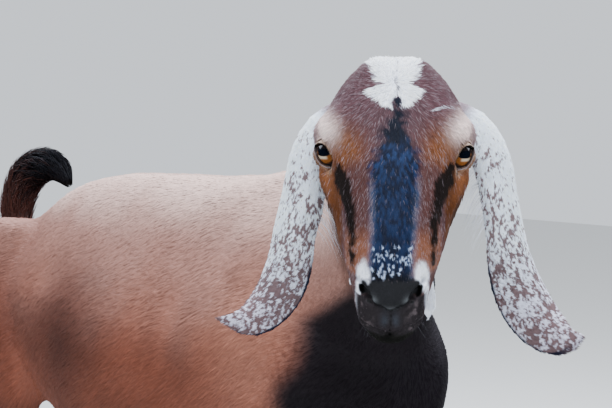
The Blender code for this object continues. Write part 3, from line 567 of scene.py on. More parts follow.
# Colours of the coat, as light reflects from them
CHESTNUT = np.array((0.215, 0.066, 0.038))
# Painted sheen: a pale chestnut that stands for the sky's light on the top of the coat
CHESTNUT_SHEEN = np.array((0.640, 0.440, 0.380))
CHESTNUT_WARM = np.array((0.370, 0.150, 0.100))
CHESTNUT_DARK = np.array((0.060, 0.020, 0.014))
BLACK = np.array((0.003, 0.003, 0.005))
WARM_BLACK = np.array((0.007, 0.004, 0.003))
# Black hair with a painted reflection of the sky: plain, and in its brighter streaks
SKY_SHEEN_BLACK = np.array((0.004, 0.012, 0.044))
SKY_SHEEN_BRIGHT = np.array((0.016, 0.040, 0.115))
PARTING = np.array((0.003, 0.005, 0.013))
NAVY_FROST = np.array((0.085, 0.130, 0.235))
WHITE = np.array((0.84, 0.87, 0.97))
EAR_WHITE = np.array((0.80, 0.87, 0.99))
MAUVE = np.array((0.082, 0.038, 0.045))
MAUVE_FROST = np.array((0.410, 0.330, 0.365))
BROW = np.array((0.170, 0.058, 0.020))
# Painted highlight: the pale pink over the eyes, where light from above falls
BROW_HIGHLIGHT = np.array((0.880, 0.680, 0.620))
CHEEK = np.array((0.105, 0.032, 0.009))
# Painted shade on the lower back of the cheek
CHEEK_SHADE = np.array((0.050, 0.015, 0.005))
RUST = np.array((0.270, 0.100, 0.050))
BAND = np.array((0.085, 0.034, 0.030))
ROAN_BROWN = np.array((0.092, 0.045, 0.042))
RIM_NAVY = np.array((0.006, 0.009, 0.030))
PAD = np.array((0.015, 0.015, 0.017))
# Painted highlight on the wet nose pad
PAD_HIGHLIGHT = np.array((0.100, 0.108, 0.114))
LIP = np.array((0.026, 0.020, 0.023))
LIP_FROST = np.array((0.300, 0.230, 0.240))
LIP_BLUE = np.array((0.040, 0.048, 0.064))
CHIN = np.array((0.011, 0.011, 0.008))
LID_TAN = np.array((0.330, 0.210, 0.140))
# Painted highlight on the lower lid's wet rim
WET_RIM_HIGHLIGHT = np.array((0.300, 0.300, 0.320))
# The lids' dark margins, and the painted shade in their crease and corners
LID_MARGIN_AND_SHADE = np.array((0.008, 0.006, 0.006))
# Painted shade in the nostrils and the muzzle's grooves
RECESS_SHADE = np.array((0.002, 0.002, 0.002))
BARE_SKIN = np.array((0.240, 0.140, 0.120))
FLECK_WHITE = WHITE * (0.66, 0.78, 0.96)
EAR_GREY = WHITE * (0.74, 0.66, 0.72)
AMBER = np.array((0.130, 0.042, 0.010))
AMBER_PALE = np.array((0.300, 0.110, 0.026))
AMBER_RIM = np.array((0.045, 0.018, 0.008))
CREAM = np.array((0.50, 0.40, 0.29))
IRIS_SHADE = np.array((0.010, 0.007, 0.007))
EYE_EDGE = np.array((0.020, 0.014, 0.014))
PUPIL_DARK = np.array((0.002, 0.003, 0.006))

# Bands of the face: height from the eyes, then how far each reaches to the right and the left
STRIPE = (
    (-0.160, 0.0205, 0.0165),
    (-0.102, 0.0205, 0.0165),
    (-0.062, 0.0175, 0.0184),
    (-0.035, 0.0178, 0.0205),
    (-0.012, 0.0183, 0.0222),
    (0.004, 0.0165, 0.0205),
    (0.014, 0.0110, 0.0150),
    (0.024, 0.0078, 0.0095),
    (0.034, 0.0050, 0.0092),
    (0.043, 0.0018, 0.0106),
    (0.048, -0.0002, 0.0085),
    (0.052, -0.0020, 0.0050),
)
POLL_PATCH = (
    (0.040, -0.0030, -0.0040),
    (0.0445, 0.0116, 0.0172),
    (0.0494, 0.0175, 0.0215),
    (0.0540, 0.0228, 0.0246),
    (0.0583, 0.0255, 0.0270),
    (0.0604, 0.0190, 0.0210),
    (0.0628, 0.0115, 0.0150),
    (0.0691, 0.0163, 0.0191),
    (0.0764, 0.0228, 0.0228),
    (0.0842, 0.0250, 0.0240),
    (0.1200, 0.0250, 0.0240),
)
# The dark stripe from each eye's inner corner to the muzzle: height, from the middle, half width
TEAR_STRIPE = (
    (-0.090, 0.0345, 0.0004),
    (-0.075, 0.0342, 0.0016),
    (-0.060, 0.0346, 0.0022),
    (-0.041, 0.0378, 0.0042),
    (-0.022, 0.0442, 0.0074),
    (-0.013, 0.0470, 0.0050),
    (-0.007, 0.0490, 0.0018),
)
# The top edge of the lips: places out from the middle, and its height in the head's frame
LIP_EDGE = ((0.0, 0.0065, 0.0130, 0.0190, 0.0240), (-0.0262, -0.0228, -0.0212, -0.0185, -0.0165))
UDDER_AT = np.array((-0.275, 0, 0.405))
UDDER_SIZE = np.array((0.055, 0.052, 0.055))
UDDER_TOP = 0.425
FLECKS = 64
FLECK_BOX = ((-0.0165, -0.1000), (0.0175, -0.0740))
FLECK_SIZE = (0.0005, 0.0011)
# Single hairs of the face: how many, and how wide each is
WHISKERS = 18
WHISKER_WIDE = 0.00022
LASHES = 18
LASH_WIDE = 0.00018
ARC_HAIRS = 110
ARC_WIDE = 0.00042

# Soft marks: the middle of each and how far it reaches. On the face that is out from the
# middle line and up from the eyes; on the lips and the pad up the head's own frame; on the
# trunk along and up the body
MARKS = {
    "brow": ((0.042, 0.004), (0.017, 0.020)),
    # The pale patches over each eye and at the temple are painted highlights
    "brow highlight": ((0.0590, 0.021), (0.0105, 0.012)),
    "temple highlight": ((0.066, 0.034), (0.008, 0.010)),
    "under eye": ((0.061, -0.020), (0.007, 0.022)),
    "muzzle side": ((0.0246, -0.0985), (0.0056, 0.0120)),
    "nostril side": ((0.0290, -0.1180), (0.0024, 0.0130)),
    "upper speck": ((-0.0008, 0.0665), (0.0013, 0.0040)),
    "lower speck": ((-0.0036, 0.0600), (0.0014, 0.0030)),
    "blue lip": ((0.0045, -0.0330), (0.0035, 0.0075)),
    # inner wing and low pad: painted highlights on the wet nose pad
    "inner wing": ((0.0145, -0.0160), (0.0035, 0.0032)),
    "low pad": ((0.0000, -0.0215), (0.0080, 0.0028)),
    # flank: a painted shadow before the thigh
    "flank": ((-0.130, 0.565), (0.095, 0.100)),
    "shoulder": ((0.245, 0.590), (0.070, 0.090)),
}
# Soft edges of the markings: where each starts and where it is full, in metres
EDGES = {
    "head": (-0.135, -0.085),
    "cheek inner": (0.041, 0.047),
    "cheek top": (0.002, -0.012),
    "temple inner": (0.058, 0.064),
    "temple top": (0.010, -0.004),
    "jaw ahead": (0.030, 0.000),
    "jaw top": (-0.012, -0.050),
    "band outer": (0.044, 0.038),
    "band top": (0.004, -0.016),
    "rust top": (-0.052, -0.076),
    "rust bottom": (-0.100, -0.092),
    "stripe high": (-0.040, 0.000),
    "parting": (0.002, 0.020),
    "stripe foot": (-0.088, -0.100),
    "edging top": (-0.010, -0.030),
    "edging bottom": (-0.104, -0.098),
    "muzzle front": (0.060, 0.075),
    "ear root out": (0.062, 0.074),
    "ear root up": (0.010, 0.024),
    "notch top": (0.0540, 0.0480),
    "notch": (0.0006, -0.0006),
    "lips ahead": (0.118, 0.128),
    "lips out": (0.0330, 0.0270),
    "lip frost out": (0.008, 0.024),
    "pad top": (-0.1000, -0.1040),
    "pad out": (0.0262, 0.0235),
    "chin top": (-0.052, -0.058),
    "chin ahead": (0.100, 0.125),
    "nostril": (0.0036, 0.0018),
    "mouth": (0.0015, 0.0006),
    "pad seam": (0.0017, 0.0007),
    "cleft": (0.0012, 0.0004),
    "upper lid": (-0.001, 0.003),
    "tan lid": (0.0075, 0.0050),
    "fold inner": (0.006, -0.002),
    "outer corner": (0.0036, 0.0016),
    "inner corner": (0.0052, 0.0024),
    "bare lid": (0.0032, 0.0022),
    # side and back: the painted sheen on the trunk; flank top and the rump: the painted shade
    "side": (0.560, 0.690),
    "back": (0.675, 0.765),
    "flank top": (0.72, 0.64),
    "rump behind": (-0.220, -0.340),
    "rump top": (0.74, 0.62),
    "chest": (0.226, 0.282),
    "throat": (0.78, 0.70),
    "legs": (0.46, 0.36),
    "crest": (0.012, 0.004),
    "crest low": (0.73, 0.75),
    "cream top": (-0.0020, -0.0034),
    "cream bottom": (-0.0068, -0.0050),
    "cream side": (0.0046, 0.0020),
    "iris shade": (-0.0008, 0.0018),
}


def read(table, at, column):
    """One column of a table of sizes, read at many places of its first column."""
    table = np.array(table)
    return np.interp(at, table[:, 0], table[:, column])


def between(table, side, up, ragged, soft):
    """The share of a band of the face at each place, with a ragged edge."""
    right = smoothstep(soft, -soft, side - read(table, up, 1) + ragged)
    left = smoothstep(soft, -soft, -side - read(table, up, 2) + ragged)
    inside = (up > table[0][0]) & (up < table[-1][0])
    return right * left * inside


def mark(name, side, up):
    """The soft share of a named mark at each place."""
    at, size = MARKS[name]
    return spot(side, up, at, size)


def over(name, value):
    """The share of a named edge that each value is past."""
    return smoothstep(*EDGES[name], value)


def plain(colour, points):
    """One colour for every point."""
    return np.repeat(colour[None], len(points), axis=0)


def flecks(side, up):
    """Small white flecks, scattered over the stripe above the nose pad."""
    chance = np.random.default_rng(SEED + 3)
    (left, low), (right, high) = FLECK_BOX
    share = np.zeros(len(side))
    for _ in range(FLECKS):
        at = (chance.uniform(left, right), chance.uniform(low, high))
        size = chance.uniform(*FLECK_SIZE)
        slant = chance.uniform(-0.5, 0.5)
        share = np.maximum(share, spot(side + slant * (up - at[1]), up, at, (size, size * 1.7)))
    return smoothstep(0.35, 0.70, share)


def brow_and_cheek(colour, frost, off, ahead, up, fine):
    """Brown brows with a pale painted highlight over each eye, and orange cheeks, painted dark with shade
    at the jaw.
    """
    colour = blend(colour, BROW, 1.25 * mark("brow", off, up))
    # Painted highlight: a pale patch over each eye and at the temple
    pale = mark("brow highlight", off, up) + 0.5 * mark("temple highlight", off, up)
    colour = blend(colour, BROW_HIGHLIGHT, 0.90 * pale)
    frost = frost * (1 - 0.8 * np.minimum(pale, 1))
    cheek = over("cheek inner", off + fine * 0.006) * over("cheek top", up)
    cheek = np.maximum(cheek, over("temple inner", off) * over("temple top", up))
    colour = blend(colour, CHEEK, cheek)
    frost = frost * (1 - 0.75 * cheek)
    colour = blend(colour, BROW * 1.7, 0.7 * mark("under eye", off, up))
    # Painted shade: the cheek's lower back, at the jaw, is painted dark
    jaw = over("jaw ahead", ahead) * over("jaw top", up)
    return blend(colour, CHEEK_SHADE, 0.95 * jaw), frost


def bands_and_tears(colour, frost, off, up, fine):
    """A frosted band on each side of the stripe, rusty below, and the dark tear stripes."""
    bands = over("band outer", off) * over("band top", up)
    colour = blend(colour, BAND, bands)
    rust = bands * over("rust top", up) * over("rust bottom", up)
    colour = blend(colour, RUST, 0.75 * rust)
    frost = frost + (0.34 - frost) * bands * (1 - 0.4 * rust)
    reach = read(TEAR_STRIPE, up, 2)
    aside = np.abs(off - read(TEAR_STRIPE, up, 1)) + fine * 0.007
    tear = smoothstep(reach + 0.0030, reach - 0.0012, aside) * (up > -0.092) * (up < -0.006)
    return blend(colour, WARM_BLACK, 0.97 * tear), frost * (1 - 0.9 * tear)


def stripe_colour(points, high, up, fine):
    """Black hair with a painted blue cast and bright streaks for the sky's reflection, brighter higher up;
    darkest at its parting and over the nose pad.
    """
    # Painted reflection: the blue cast and the bright streaks stand for the sky mirrored in the black hair
    streaks = cloud(into(FACE, points) * (1, 1, 0.22), 0.0020, 14)
    bright = smoothstep(0.40, 0.75, streaks) * (0.30 + 0.45 * high)
    sky_sheened = blend(plain(SKY_SHEEN_BLACK, points), SKY_SHEEN_BRIGHT, bright)
    sky_sheened = blend(sky_sheened, BLACK * 1.3, 0.50 * smoothstep(0.55, 0.25, streaks))
    sky_sheened = blend(sky_sheened, PARTING, 0.95 * over("parting", up + fine * 0.012))
    return blend(sky_sheened, BLACK * 1.5, 0.85 * over("stripe foot", up + fine * 0.006))


def face_colour(points, noise):
    """Colours of the head's coat, and the share of pale hairs in it."""
    side, ahead, up = into(FACE, points).T
    off = np.abs(side)
    fine = noise - 0.5
    colour, frost = plain(MAUVE, points), np.full(len(points), 0.26)
    colour, frost = brow_and_cheek(colour, frost, off, ahead, up, fine)
    colour, frost = bands_and_tears(colour, frost, off, up, fine)

    high = over("stripe high", up)
    stripe = between(STRIPE, side, up, fine * (0.006 + 0.012 * high), 0.0024 + 0.0034 * high)
    colour = blend(colour, stripe_colour(points, high, up, fine), stripe)
    edge = np.minimum(np.abs(side - read(STRIPE, up, 1)), np.abs(-side - read(STRIPE, up, 2)))
    edging = bump(edge, 0, 0.0030) * over("edging top", up) * over("edging bottom", up)
    frost = np.clip(frost * (1 - stripe) + 0.05 * stripe + 0.40 * edging, 0, 0.8)
    colour = blend(colour, NAVY_FROST, 0.30 * edging)

    patches = np.maximum(1.7 * mark("muzzle side", off, up), 1.6 * mark("nostril side", off, up))
    patches = smoothstep(0.25, 0.95, patches + fine * 0.5) * over("muzzle front", ahead)
    colour = blend(colour, WHITE, patches)
    colour = blend(colour, FLECK_WHITE, 0.85 * flecks(side, up) * stripe)
    roots = over("ear root out", off) * over("ear root up", up)
    colour = blend(colour, MAUVE * 1.7, 0.7 * roots)
    frost = np.where(patches > 0.5, 0.0, frost)
    return colour, frost, side, up


def poll_colour(colour, frost, points, noise, side, up):
    """The white patch of the poll, drawn in at its waist, and the dark specks on it."""
    ragged = (cloud(points, 0.0026, 12) - 0.5) * 0.008
    patch = between(POLL_PATCH, side, up, ragged, 0.0012)
    notch = 0.0044 * over("notch top", up) - np.abs(side + 0.0028) + ragged * 0.3
    patch = patch * over("notch", notch)
    colour = blend(colour, WHITE, patch)
    specks = mark("upper speck", side, up) + mark("lower speck", side, up)
    colour = blend(colour, WARM_BLACK * 3, 0.9 * specks * (noise > 0.3))
    return colour, frost * (1 - patch), patch


def muzzle_colour(colour, noise, up, head, lines):
    """Bare pad, lips and chin, over the face's coat, with painted highlights on the wet pad and painted
    shade in its grooves and nostrils.
    """
    across, along, crown = head.T
    off = np.abs(across)
    edge = np.interp(off, *LIP_EDGE)
    in_front = over("lips ahead", along)
    lips = in_front * smoothstep(edge + 0.0010, edge - 0.0010, crown) * over("lips out", off)
    colour = blend(colour, LIP, lips)
    speckled = smoothstep(0.55, 0.80, noise) * over("lip frost out", off)
    colour = blend(colour, LIP_FROST, lips * speckled * 0.26)
    colour = blend(colour, LIP_BLUE, 0.7 * mark("blue lip", off, crown) * in_front)
    pad = in_front * over("pad top", up - 0.10 * np.maximum(off - 0.014, 0) + (noise - 0.5) * 0.008)
    pad = pad * smoothstep(edge - 0.0008, edge + 0.0008, crown) * over("pad out", off)
    # Painted highlights on the wet pad, by its inner wings and low in its middle
    shine = 0.75 * mark("inner wing", off, crown) + 0.45 * mark("low pad", off, crown)
    colour = blend(colour, blend(plain(PAD, head), PAD_HIGHLIGHT, shine), pad)
    chin = over("chin top", crown) * over("chin ahead", along)
    colour = blend(colour, CHIN * (0.4 + 0.9 * noise[:, None]), chin * 0.97)
    # Painted shade: the nostrils, the mouth's line, the pad's seam and the cleft are painted near black
    for side in (1, -1):
        nostril_shade = over("nostril", reach_of(head, lines["nostril", side][:NOSTRIL_OPEN]))
        mouth = over("mouth", reach_of(head, lines["mouth", side]))
        seam = over("pad seam", reach_of(head, lines["pad", side]))
        for groove in (nostril_shade, np.maximum(mouth, seam)):
            colour = blend(colour, RECESS_SHADE, groove)
    cleft = over("cleft", reach_of(head, lines["cleft", 1]))
    colour = blend(colour, RECESS_SHADE, 0.8 * cleft)
    return colour, np.clip(pad + 0.3 * lips, 0, 1), np.maximum(lips, chin)


def eye_skin_colour(colour, bare, head):
    """Dark margins, a painted highlight on the pale wet rim below, a tan upper lid with painted shade in
    its crease and in the eye's corners.
    """
    for side in (1, -1):
        out, along, up = into(eye_frame(side), head).T
        past = past_margin(along, up)
        near = (out > 0.0) & (np.hypot(along, up) < 0.026)
        upper = over("upper lid", up)
        lower = 1 - upper
        colour = blend(colour, LID_TAN, near * over("tan lid", past) * upper * 0.9)
        colour = blend(colour, LID_TAN * 1.15, near * 0.55 * bump(past, 0.0055, 0.0022) * lower)
        # Painted shade in the upper lid's crease
        fold = bump(past, 0.0048, 0.0009) * upper * over("fold inner", along)
        colour = blend(colour, LID_MARGIN_AND_SHADE, near * fold * 0.92)
        # Painted highlight on the wet rim of the lower lid
        colour = blend(colour, WET_RIM_HIGHLIGHT, near * bump(past, 0.0020, 0.0008) * lower * 0.95)
        line = 0.0010 + 0.0006 * upper
        colour = blend(colour, LID_MARGIN_AND_SHADE, near * smoothstep(line, line - 0.0006, past))
        # Painted shade in the eye's outer and inner corners
        outer = np.hypot(along + 0.0150, up - 0.0010)
        colour = blend(colour, LID_MARGIN_AND_SHADE, near * 0.9 * over("outer corner", outer))
        inner = np.hypot(along - 0.0150, up + 0.0020)
        colour = blend(colour, LID_MARGIN_AND_SHADE, near * over("inner corner", inner))
        bare = np.maximum(bare, near * over("bare lid", past))
    return colour, bare


def body_colour(points, noise):
    """Chestnut with a pale painted sheen on the upper sides and back, dark painted shade on the flank and
    rump, black chest and legs, bare udder.
    """
    x, y, z = (points - SHIFT).T
    uneven = 0.6 * cloud(points, 0.11, 3) + 0.4 * cloud(points, 0.045, 4) - 0.5
    colour = blend(plain(CHESTNUT, points), CHESTNUT_DARK, 0.40 * smoothstep(0.02, 0.30, uneven))
    # Painted sheen: the upper sides, and most of all the back, are painted paler where light from above
    # falls
    colour = blend(colour, CHESTNUT_SHEEN, 0.26 * over("side", z + 0.08 * uneven))
    colour = blend(colour, CHESTNUT_SHEEN, 0.90 * over("back", z + 0.06 * uneven))
    # Painted shade: the flank before the thigh and the rump are painted darker where shadow falls
    colour = blend(colour, CHESTNUT_DARK, 0.85 * mark("flank", x, z) * over("flank top", z))
    rump = over("rump behind", x) * over("rump top", z)
    colour = blend(colour, CHESTNUT_DARK * 1.6, 0.45 * rump)
    colour = blend(colour, CHESTNUT_WARM, 0.75 * mark("shoulder", x, z))
    reach = x - 0.45 * np.abs(y) + 0.25 * (0.60 - z) - 1.6 * np.maximum(z - 0.63, 0)
    front = over("chest", reach + 0.06 * uneven) * over("throat", z)
    colour = blend(colour, BLACK * 2.4, 0.97 * front)
    colour = blend(colour, BLACK * 1.6, 0.92 * over("legs", z + 0.04 * uneven))
    crest = over("crest", np.abs(y) + 0.004 * (noise - 0.5)) * over("crest low", z)
    colour = blend(colour, CHESTNUT_DARK, 0.30 * crest * (x < 0.25))
    bag = np.exp(-(np.linalg.norm((points - SHIFT - UDDER_AT) / UDDER_SIZE, axis=1) ** 6))
    bag = bag * (z < UDDER_TOP)
    return blend(colour, BARE_SKIN, bag), bag


def coat_colour(points, lines):
    """The coat's colour on the flesh, where skin is bare, the share of pale hairs, and the poll."""
    noise = 0.6 * cloud(points, 0.0030, 1) + 0.4 * cloud(points, 0.0075, 2)
    body, udder_bare = body_colour(points, noise)
    head = into(HEAD, points)
    colour, frost, side, up = face_colour(points, noise)
    colour, frost, patch = poll_colour(colour, frost, points, noise, side, up)
    colour, bare, lips = muzzle_colour(colour, noise, up, head, lines)
    colour, bare = eye_skin_colour(colour, bare, head)
    on_head = over("head", into(FACE, points)[:, 1])
    bare = np.maximum(bare * on_head, udder_bare)
    return blend(body, colour, on_head), bare, frost * (1 - 0.85 * lips) * on_head, patch * on_head


# Each ear's middle line as it is seen from the front: place from the root, out to the side, up
# from the eyes, and half its width
EAR_LINES = {
    "r": (
        (0.00, 0.048, 0.036, 0.0150),
        (0.18, 0.0775, 0.002, 0.0195),
        (0.40, 0.0875, -0.052, 0.0216),
        (0.60, 0.0970, -0.101, 0.0225),
        (0.76, 0.1110, -0.1365, 0.0215),
        (0.89, 0.1365, -0.1565, 0.0145),
        (1.00, 0.1640, -0.1525, 0.0012),
    ),
    "l": (
        (0.00, 0.050, 0.036, 0.0150),
        (0.17, 0.0840, 0.008, 0.0185),
        (0.357, 0.0970, -0.040, 0.0180),
        (0.588, 0.1072, -0.1006, 0.0220),
        (0.748, 0.1221, -0.1402, 0.0245),
        (0.875, 0.1446, -0.1650, 0.0200),
        (1.00, 0.1740, -0.1658, 0.0012),
    ),
}


def ear_places(points, word, side):
    """Share of the way to the ear's tip, and how far inside its inner and outer margins."""
    line = spline(EAR_LINES[word], 120)
    centre, half = line[:, 1:3], line[:, 3]
    way = unit(np.gradient(centre, axis=0))
    out = np.column_stack([-way[:, 1], way[:, 0]])
    local = into(FACE, points)
    seen = np.column_stack([local[:, 0] * side, local[:, 2]])
    nearest = np.empty(len(points), np.int64)
    for start in range(0, len(points), 20000):
        part = slice(start, start + 20000)
        nearest[part] = np.argmin(np.linalg.norm(seen[part, None] - centre[None], axis=2), axis=1)
    across = np.sum((seen - centre[nearest]) * out[nearest], axis=1)
    return line[nearest, 0], across + half[nearest], half[nearest] - across


def ear_colour(points, word, side):
    """White ears, ticked with brown that thickens to the tip, with a navy inner margin."""
    along, from_inner, from_outer = ear_places(points, word, side)
    local = into(FACE, points) * (1, 1, 0.55)
    clump = cloud(local, 0.0027, 5)
    coarse = cloud(points, 0.014, 8)
    mottle = 0.44 * cloud(local, 0.0011, 6) + 0.38 * clump + 0.18 * coarse
    brown = 0.60 - 0.17 * smoothstep(0.22, 0.85, along) + 0.05 * smoothstep(0.30, 0.12, along)
    brown = brown + 0.10 * smoothstep(0.007, 0.001, from_outer) * smoothstep(0.85, 0.6, along)
    ticked = smoothstep(brown - 0.02, brown + 0.02, mottle)
    colour = blend(plain(EAR_WHITE, points), EAR_GREY, 0.8 * smoothstep(0.45, 0.95, along))
    colour = blend(colour, blend(plain(ROAN_BROWN, points), ROAN_BROWN * 1.7, clump), 0.92 * ticked)
    root = smoothstep(0.085, 0.020, along + 0.03 * (coarse - 0.5))
    colour = blend(colour, MAUVE * 1.9, 0.85 * root)
    margin = smoothstep(0.0034, 0.0016, from_inner + 0.0012 * (clump - 0.5))
    margin = margin * smoothstep(0.50, 0.62, along) * smoothstep(0.975, 0.900, along)
    return blend(colour, RIM_NAVY, margin), along, from_inner


class Value:
    """A socket that takes part in sums, with a Math node for each."""

    def __init__(self, paint, socket):
        self.paint = paint
        self.socket = socket

    def math(self, operation, other, swapped=False):
        pair = (other, self) if swapped else (self, other)
        return self.paint.node("ShaderNodeMath", {"operation": operation}, *pair)

    def __add__(self, other):
        return self.math("ADD", other)

    def __sub__(self, other):
        return self.math("SUBTRACT", other)

    def __rsub__(self, other):
        return self.math("SUBTRACT", other, True)

    def __mul__(self, other):
        return self.math("MULTIPLY", other)

    __radd__ = __add__
    __rmul__ = __mul__


class Paint:
    """A material under the brush: one Principled shader and the nodes that feed it."""

    def __init__(self, name, **sockets):
        self.material = bpy.data.materials.new(name)
        self.material.use_nodes = True
        self.nodes = self.material.node_tree.nodes
        self.links = self.material.node_tree.links
        self.shader = self.nodes["Principled BSDF"]
        self.set(self.shader, sockets)

    def set(self, node, sockets):
        for key, value in sockets.items():
            place = node.inputs[key if isinstance(key, int) else key.replace("_", " ")]
            if isinstance(value, Value):
                self.links.new(value.socket, place)
            elif value is not None:
                place.default_value = value

    def node(self, kind, settings=None, *values, out=0, **named):
        """Any node: its settings first, then the values or links of its sockets."""
        made = self.nodes.new(kind)
        for key, value in (settings or {}).items():
            setattr(made, key, value)
        self.set(made, dict(enumerate(values)))
        self.set(made, named)
        return Value(self, made.outputs[out])

    def feed(self, **sockets):
        self.set(self.shader, sockets)
        return self.material

    def mix(self, share, first, second):
        made = self.nodes.new("ShaderNodeMix")
        made.data_type = "RGBA"
        self.set(made, {0: share, 6: first, 7: second})
        return Value(self, made.outputs[2])

    def shaded(self, colour, tone):
        return self.node("ShaderNodeVectorMath", {"operation": "MULTIPLY"}, colour, tone)

    def noise(self, scale, detail=3.0, stretch=None):
        place = self.node("ShaderNodeTexCoord", out=3)
        if stretch:
            place = self.node("ShaderNodeMapping", None, Vector=place, Scale=stretch)
        return self.node("ShaderNodeTexNoise", None, Vector=place, Scale=scale, Detail=detail)

    def raised(self, height, distance, strength=1.0):
        return self.node("ShaderNodeBump", None, Strength=strength, Distance=distance, Height=height)

    def attribute(self, name, out=0):
        return self.node("ShaderNodeAttribute", {"attribute_name": name}, out=out)


def skin_paint():
    """Skin under a short coat: hairs as fine relief, and pores where it is bare."""
    paint = Paint("short coat", Specular_IOR_Level=0.22)
    bare = paint.attribute("bare", out=2)
    hairs = paint.noise(900.0, 2.0, (0.35, 1.0, 0.7))
    pores = paint.noise(420.0, 4.0)
    return paint.feed(
        Base_Color=paint.shaded(paint.attribute("coat"), 0.75 + hairs * 0.5),
        Roughness=0.66 - bare * 0.28 + pores * 0.06,
        Normal=paint.raised(hairs * (1 - bare) * 0.6 + pores * bare, 0.0006, 0.6),
    )


def hair_paint(name, rough):
    """Hair in the tufts' own colours, a little uneven."""
    paint = Paint(name, Specular_IOR_Level=0.12, Sheen_Weight=0.03, Sheen_Roughness=0.4)
    uneven = paint.noise(260.0, 2.0)
    return paint.feed(
        Base_Color=paint.shaded(paint.attribute("coat"), 0.82 + uneven * 0.36),
        Roughness=rough - 0.05 + uneven * 0.10,
    )


def eye_paint():
    paint = Paint("wet eye", Roughness=0.035, Specular_IOR_Level=0.24)
    fibres = paint.noise(1400.0, 2.0)
    return paint.feed(Base_Color=paint.shaded(paint.attribute("coat"), 0.85 + fibres * 0.3))


def horn_paint():
    paint = Paint("hoof horn", Roughness=0.5, Specular_IOR_Level=0.4)
    streaks = paint.noise(60.0, 5.0, (4.0, 4.0, 0.35))
    rings = paint.noise(40.0, 3.0, (0.5, 0.5, 6.0))
    return paint.feed(
        Base_Color=paint.mix(streaks, (0.020, 0.017, 0.015, 1), (0.110, 0.085, 0.062, 1)),
        Roughness=0.42 + rings * 0.25,
        Normal=paint.raised(streaks * 0.6 + rings, 0.0007, 0.7),
    )


def floor_paint():
    return Paint("pale floor", Roughness=0.85).feed(Base_Color=(0.78, 0.78, 0.77, 1))


def paint_points(mesh, colour, bare=None):
    """Stores the coat's colour, and where skin is bare, on the mesh's points."""
    layer = mesh.attributes.new("coat", "FLOAT_COLOR", "POINT")
    full = np.column_stack([np.clip(colour, 0, 1), np.ones(len(colour))])
    layer.data.foreach_set("color", full.astype(np.float32).ravel())
    if bare is not None:
        mask = mesh.attributes.new("bare", "FLOAT", "POINT")
        mask.data.foreach_set("value", bare.astype(np.float32))


# A tuft's place on the unwrap, its four faces, how far each corner has the tip's colour, and
# where its corners lie in that place
BAKE_PATCH = 0.003
TUFT_FACES = ((0, 1, 2), (0, 2, 3), (2, 1, 3), (1, 0, 3))
TUFT_SHARES = (0.0, 0.0, 0.45, 1.0)
TUFT_PATCH = ((-1, -1), (1, -1), (0, -0.2), (0, 1))


def turned_out(points, faces):
    """The faces, turned the other way if they close round less than nothing."""
    first, second, third = (points[faces[:, i]] for i in range(3))
    if np.sum(np.cross(first, second) * third) < 0:
        return faces[:, ::-1]
    return faces


def hair_mesh(name, points, faces, colour, spots):
    """A mesh of many small closed forms, with their colours and their places on the unwrap."""
    mesh = bpy.data.meshes.new(name)
    mesh.vertices.add(len(points))
    mesh.vertices.foreach_set("co", points.astype(np.float32).ravel())
    mesh.loops.add(faces.size)
    mesh.loops.foreach_set("vertex_index", faces.astype(np.int32).ravel())
    mesh.polygons.add(len(faces))
    mesh.polygons.foreach_set("loop_start", np.arange(0, faces.size, 3, dtype=np.int32))
    mesh.update(calc_edges=True)
    mesh.shade_smooth()
    paint_points(mesh, colour)
    unwrap = mesh.uv_layers.new(name="OFBake")
    unwrap.data.foreach_set("uv", spots[faces.ravel()].astype(np.float32).ravel())
    return mesh


def lay_tufts(name, coat, unwrap):
    """Closed four-sided tufts, each from a sunk root edge over a low ridge to one point."""
    roots, normals, lie = coat["root"], coat["normal"], coat["lie"]
    length, half, lift = coat["length"][:, None], coat["width"][:, None] / 2, coat["lift"][:, None]
    side = unit(np.cross(lie, normals))
    sink = normals * 0.0004
    corners = [
        roots - side * half - sink,
        roots + side * half - sink,
        roots + lie * length * 0.42 + normals * (lift * 0.6 + half * 0.7),
        roots + lie * length + normals * lift,
    ]
    points = np.stack(corners, axis=1).reshape(-1, 3)
    count = len(roots)
    faces = turned_out(points[:4] - points[:4].mean(axis=0), np.array(TUFT_FACES))
    faces = (faces[None] + 4 * np.arange(count)[:, None, None]).reshape(-1, 3)
    share = np.array(TUFT_SHARES)[None, :, None]
    colour = (coat["colour"][:, None] * (1 - share) + coat["tip"][:, None] * share).reshape(-1, 3)
    spots = (unwrap(roots)[:, None] + np.array(TUFT_PATCH)[None] * BAKE_PATCH / 2).reshape(-1, 2)
    mesh = hair_mesh(name, points, faces, colour, spots)
    shading = [normals - side * 0.5, normals + side * 0.5, normals, normals + lie * 0.25]
    shading = unit(np.stack(shading, axis=1).reshape(-1, 3))
    mesh.normals_split_custom_set_from_vertices(shading.tolist())
    return make_object(name, mesh)


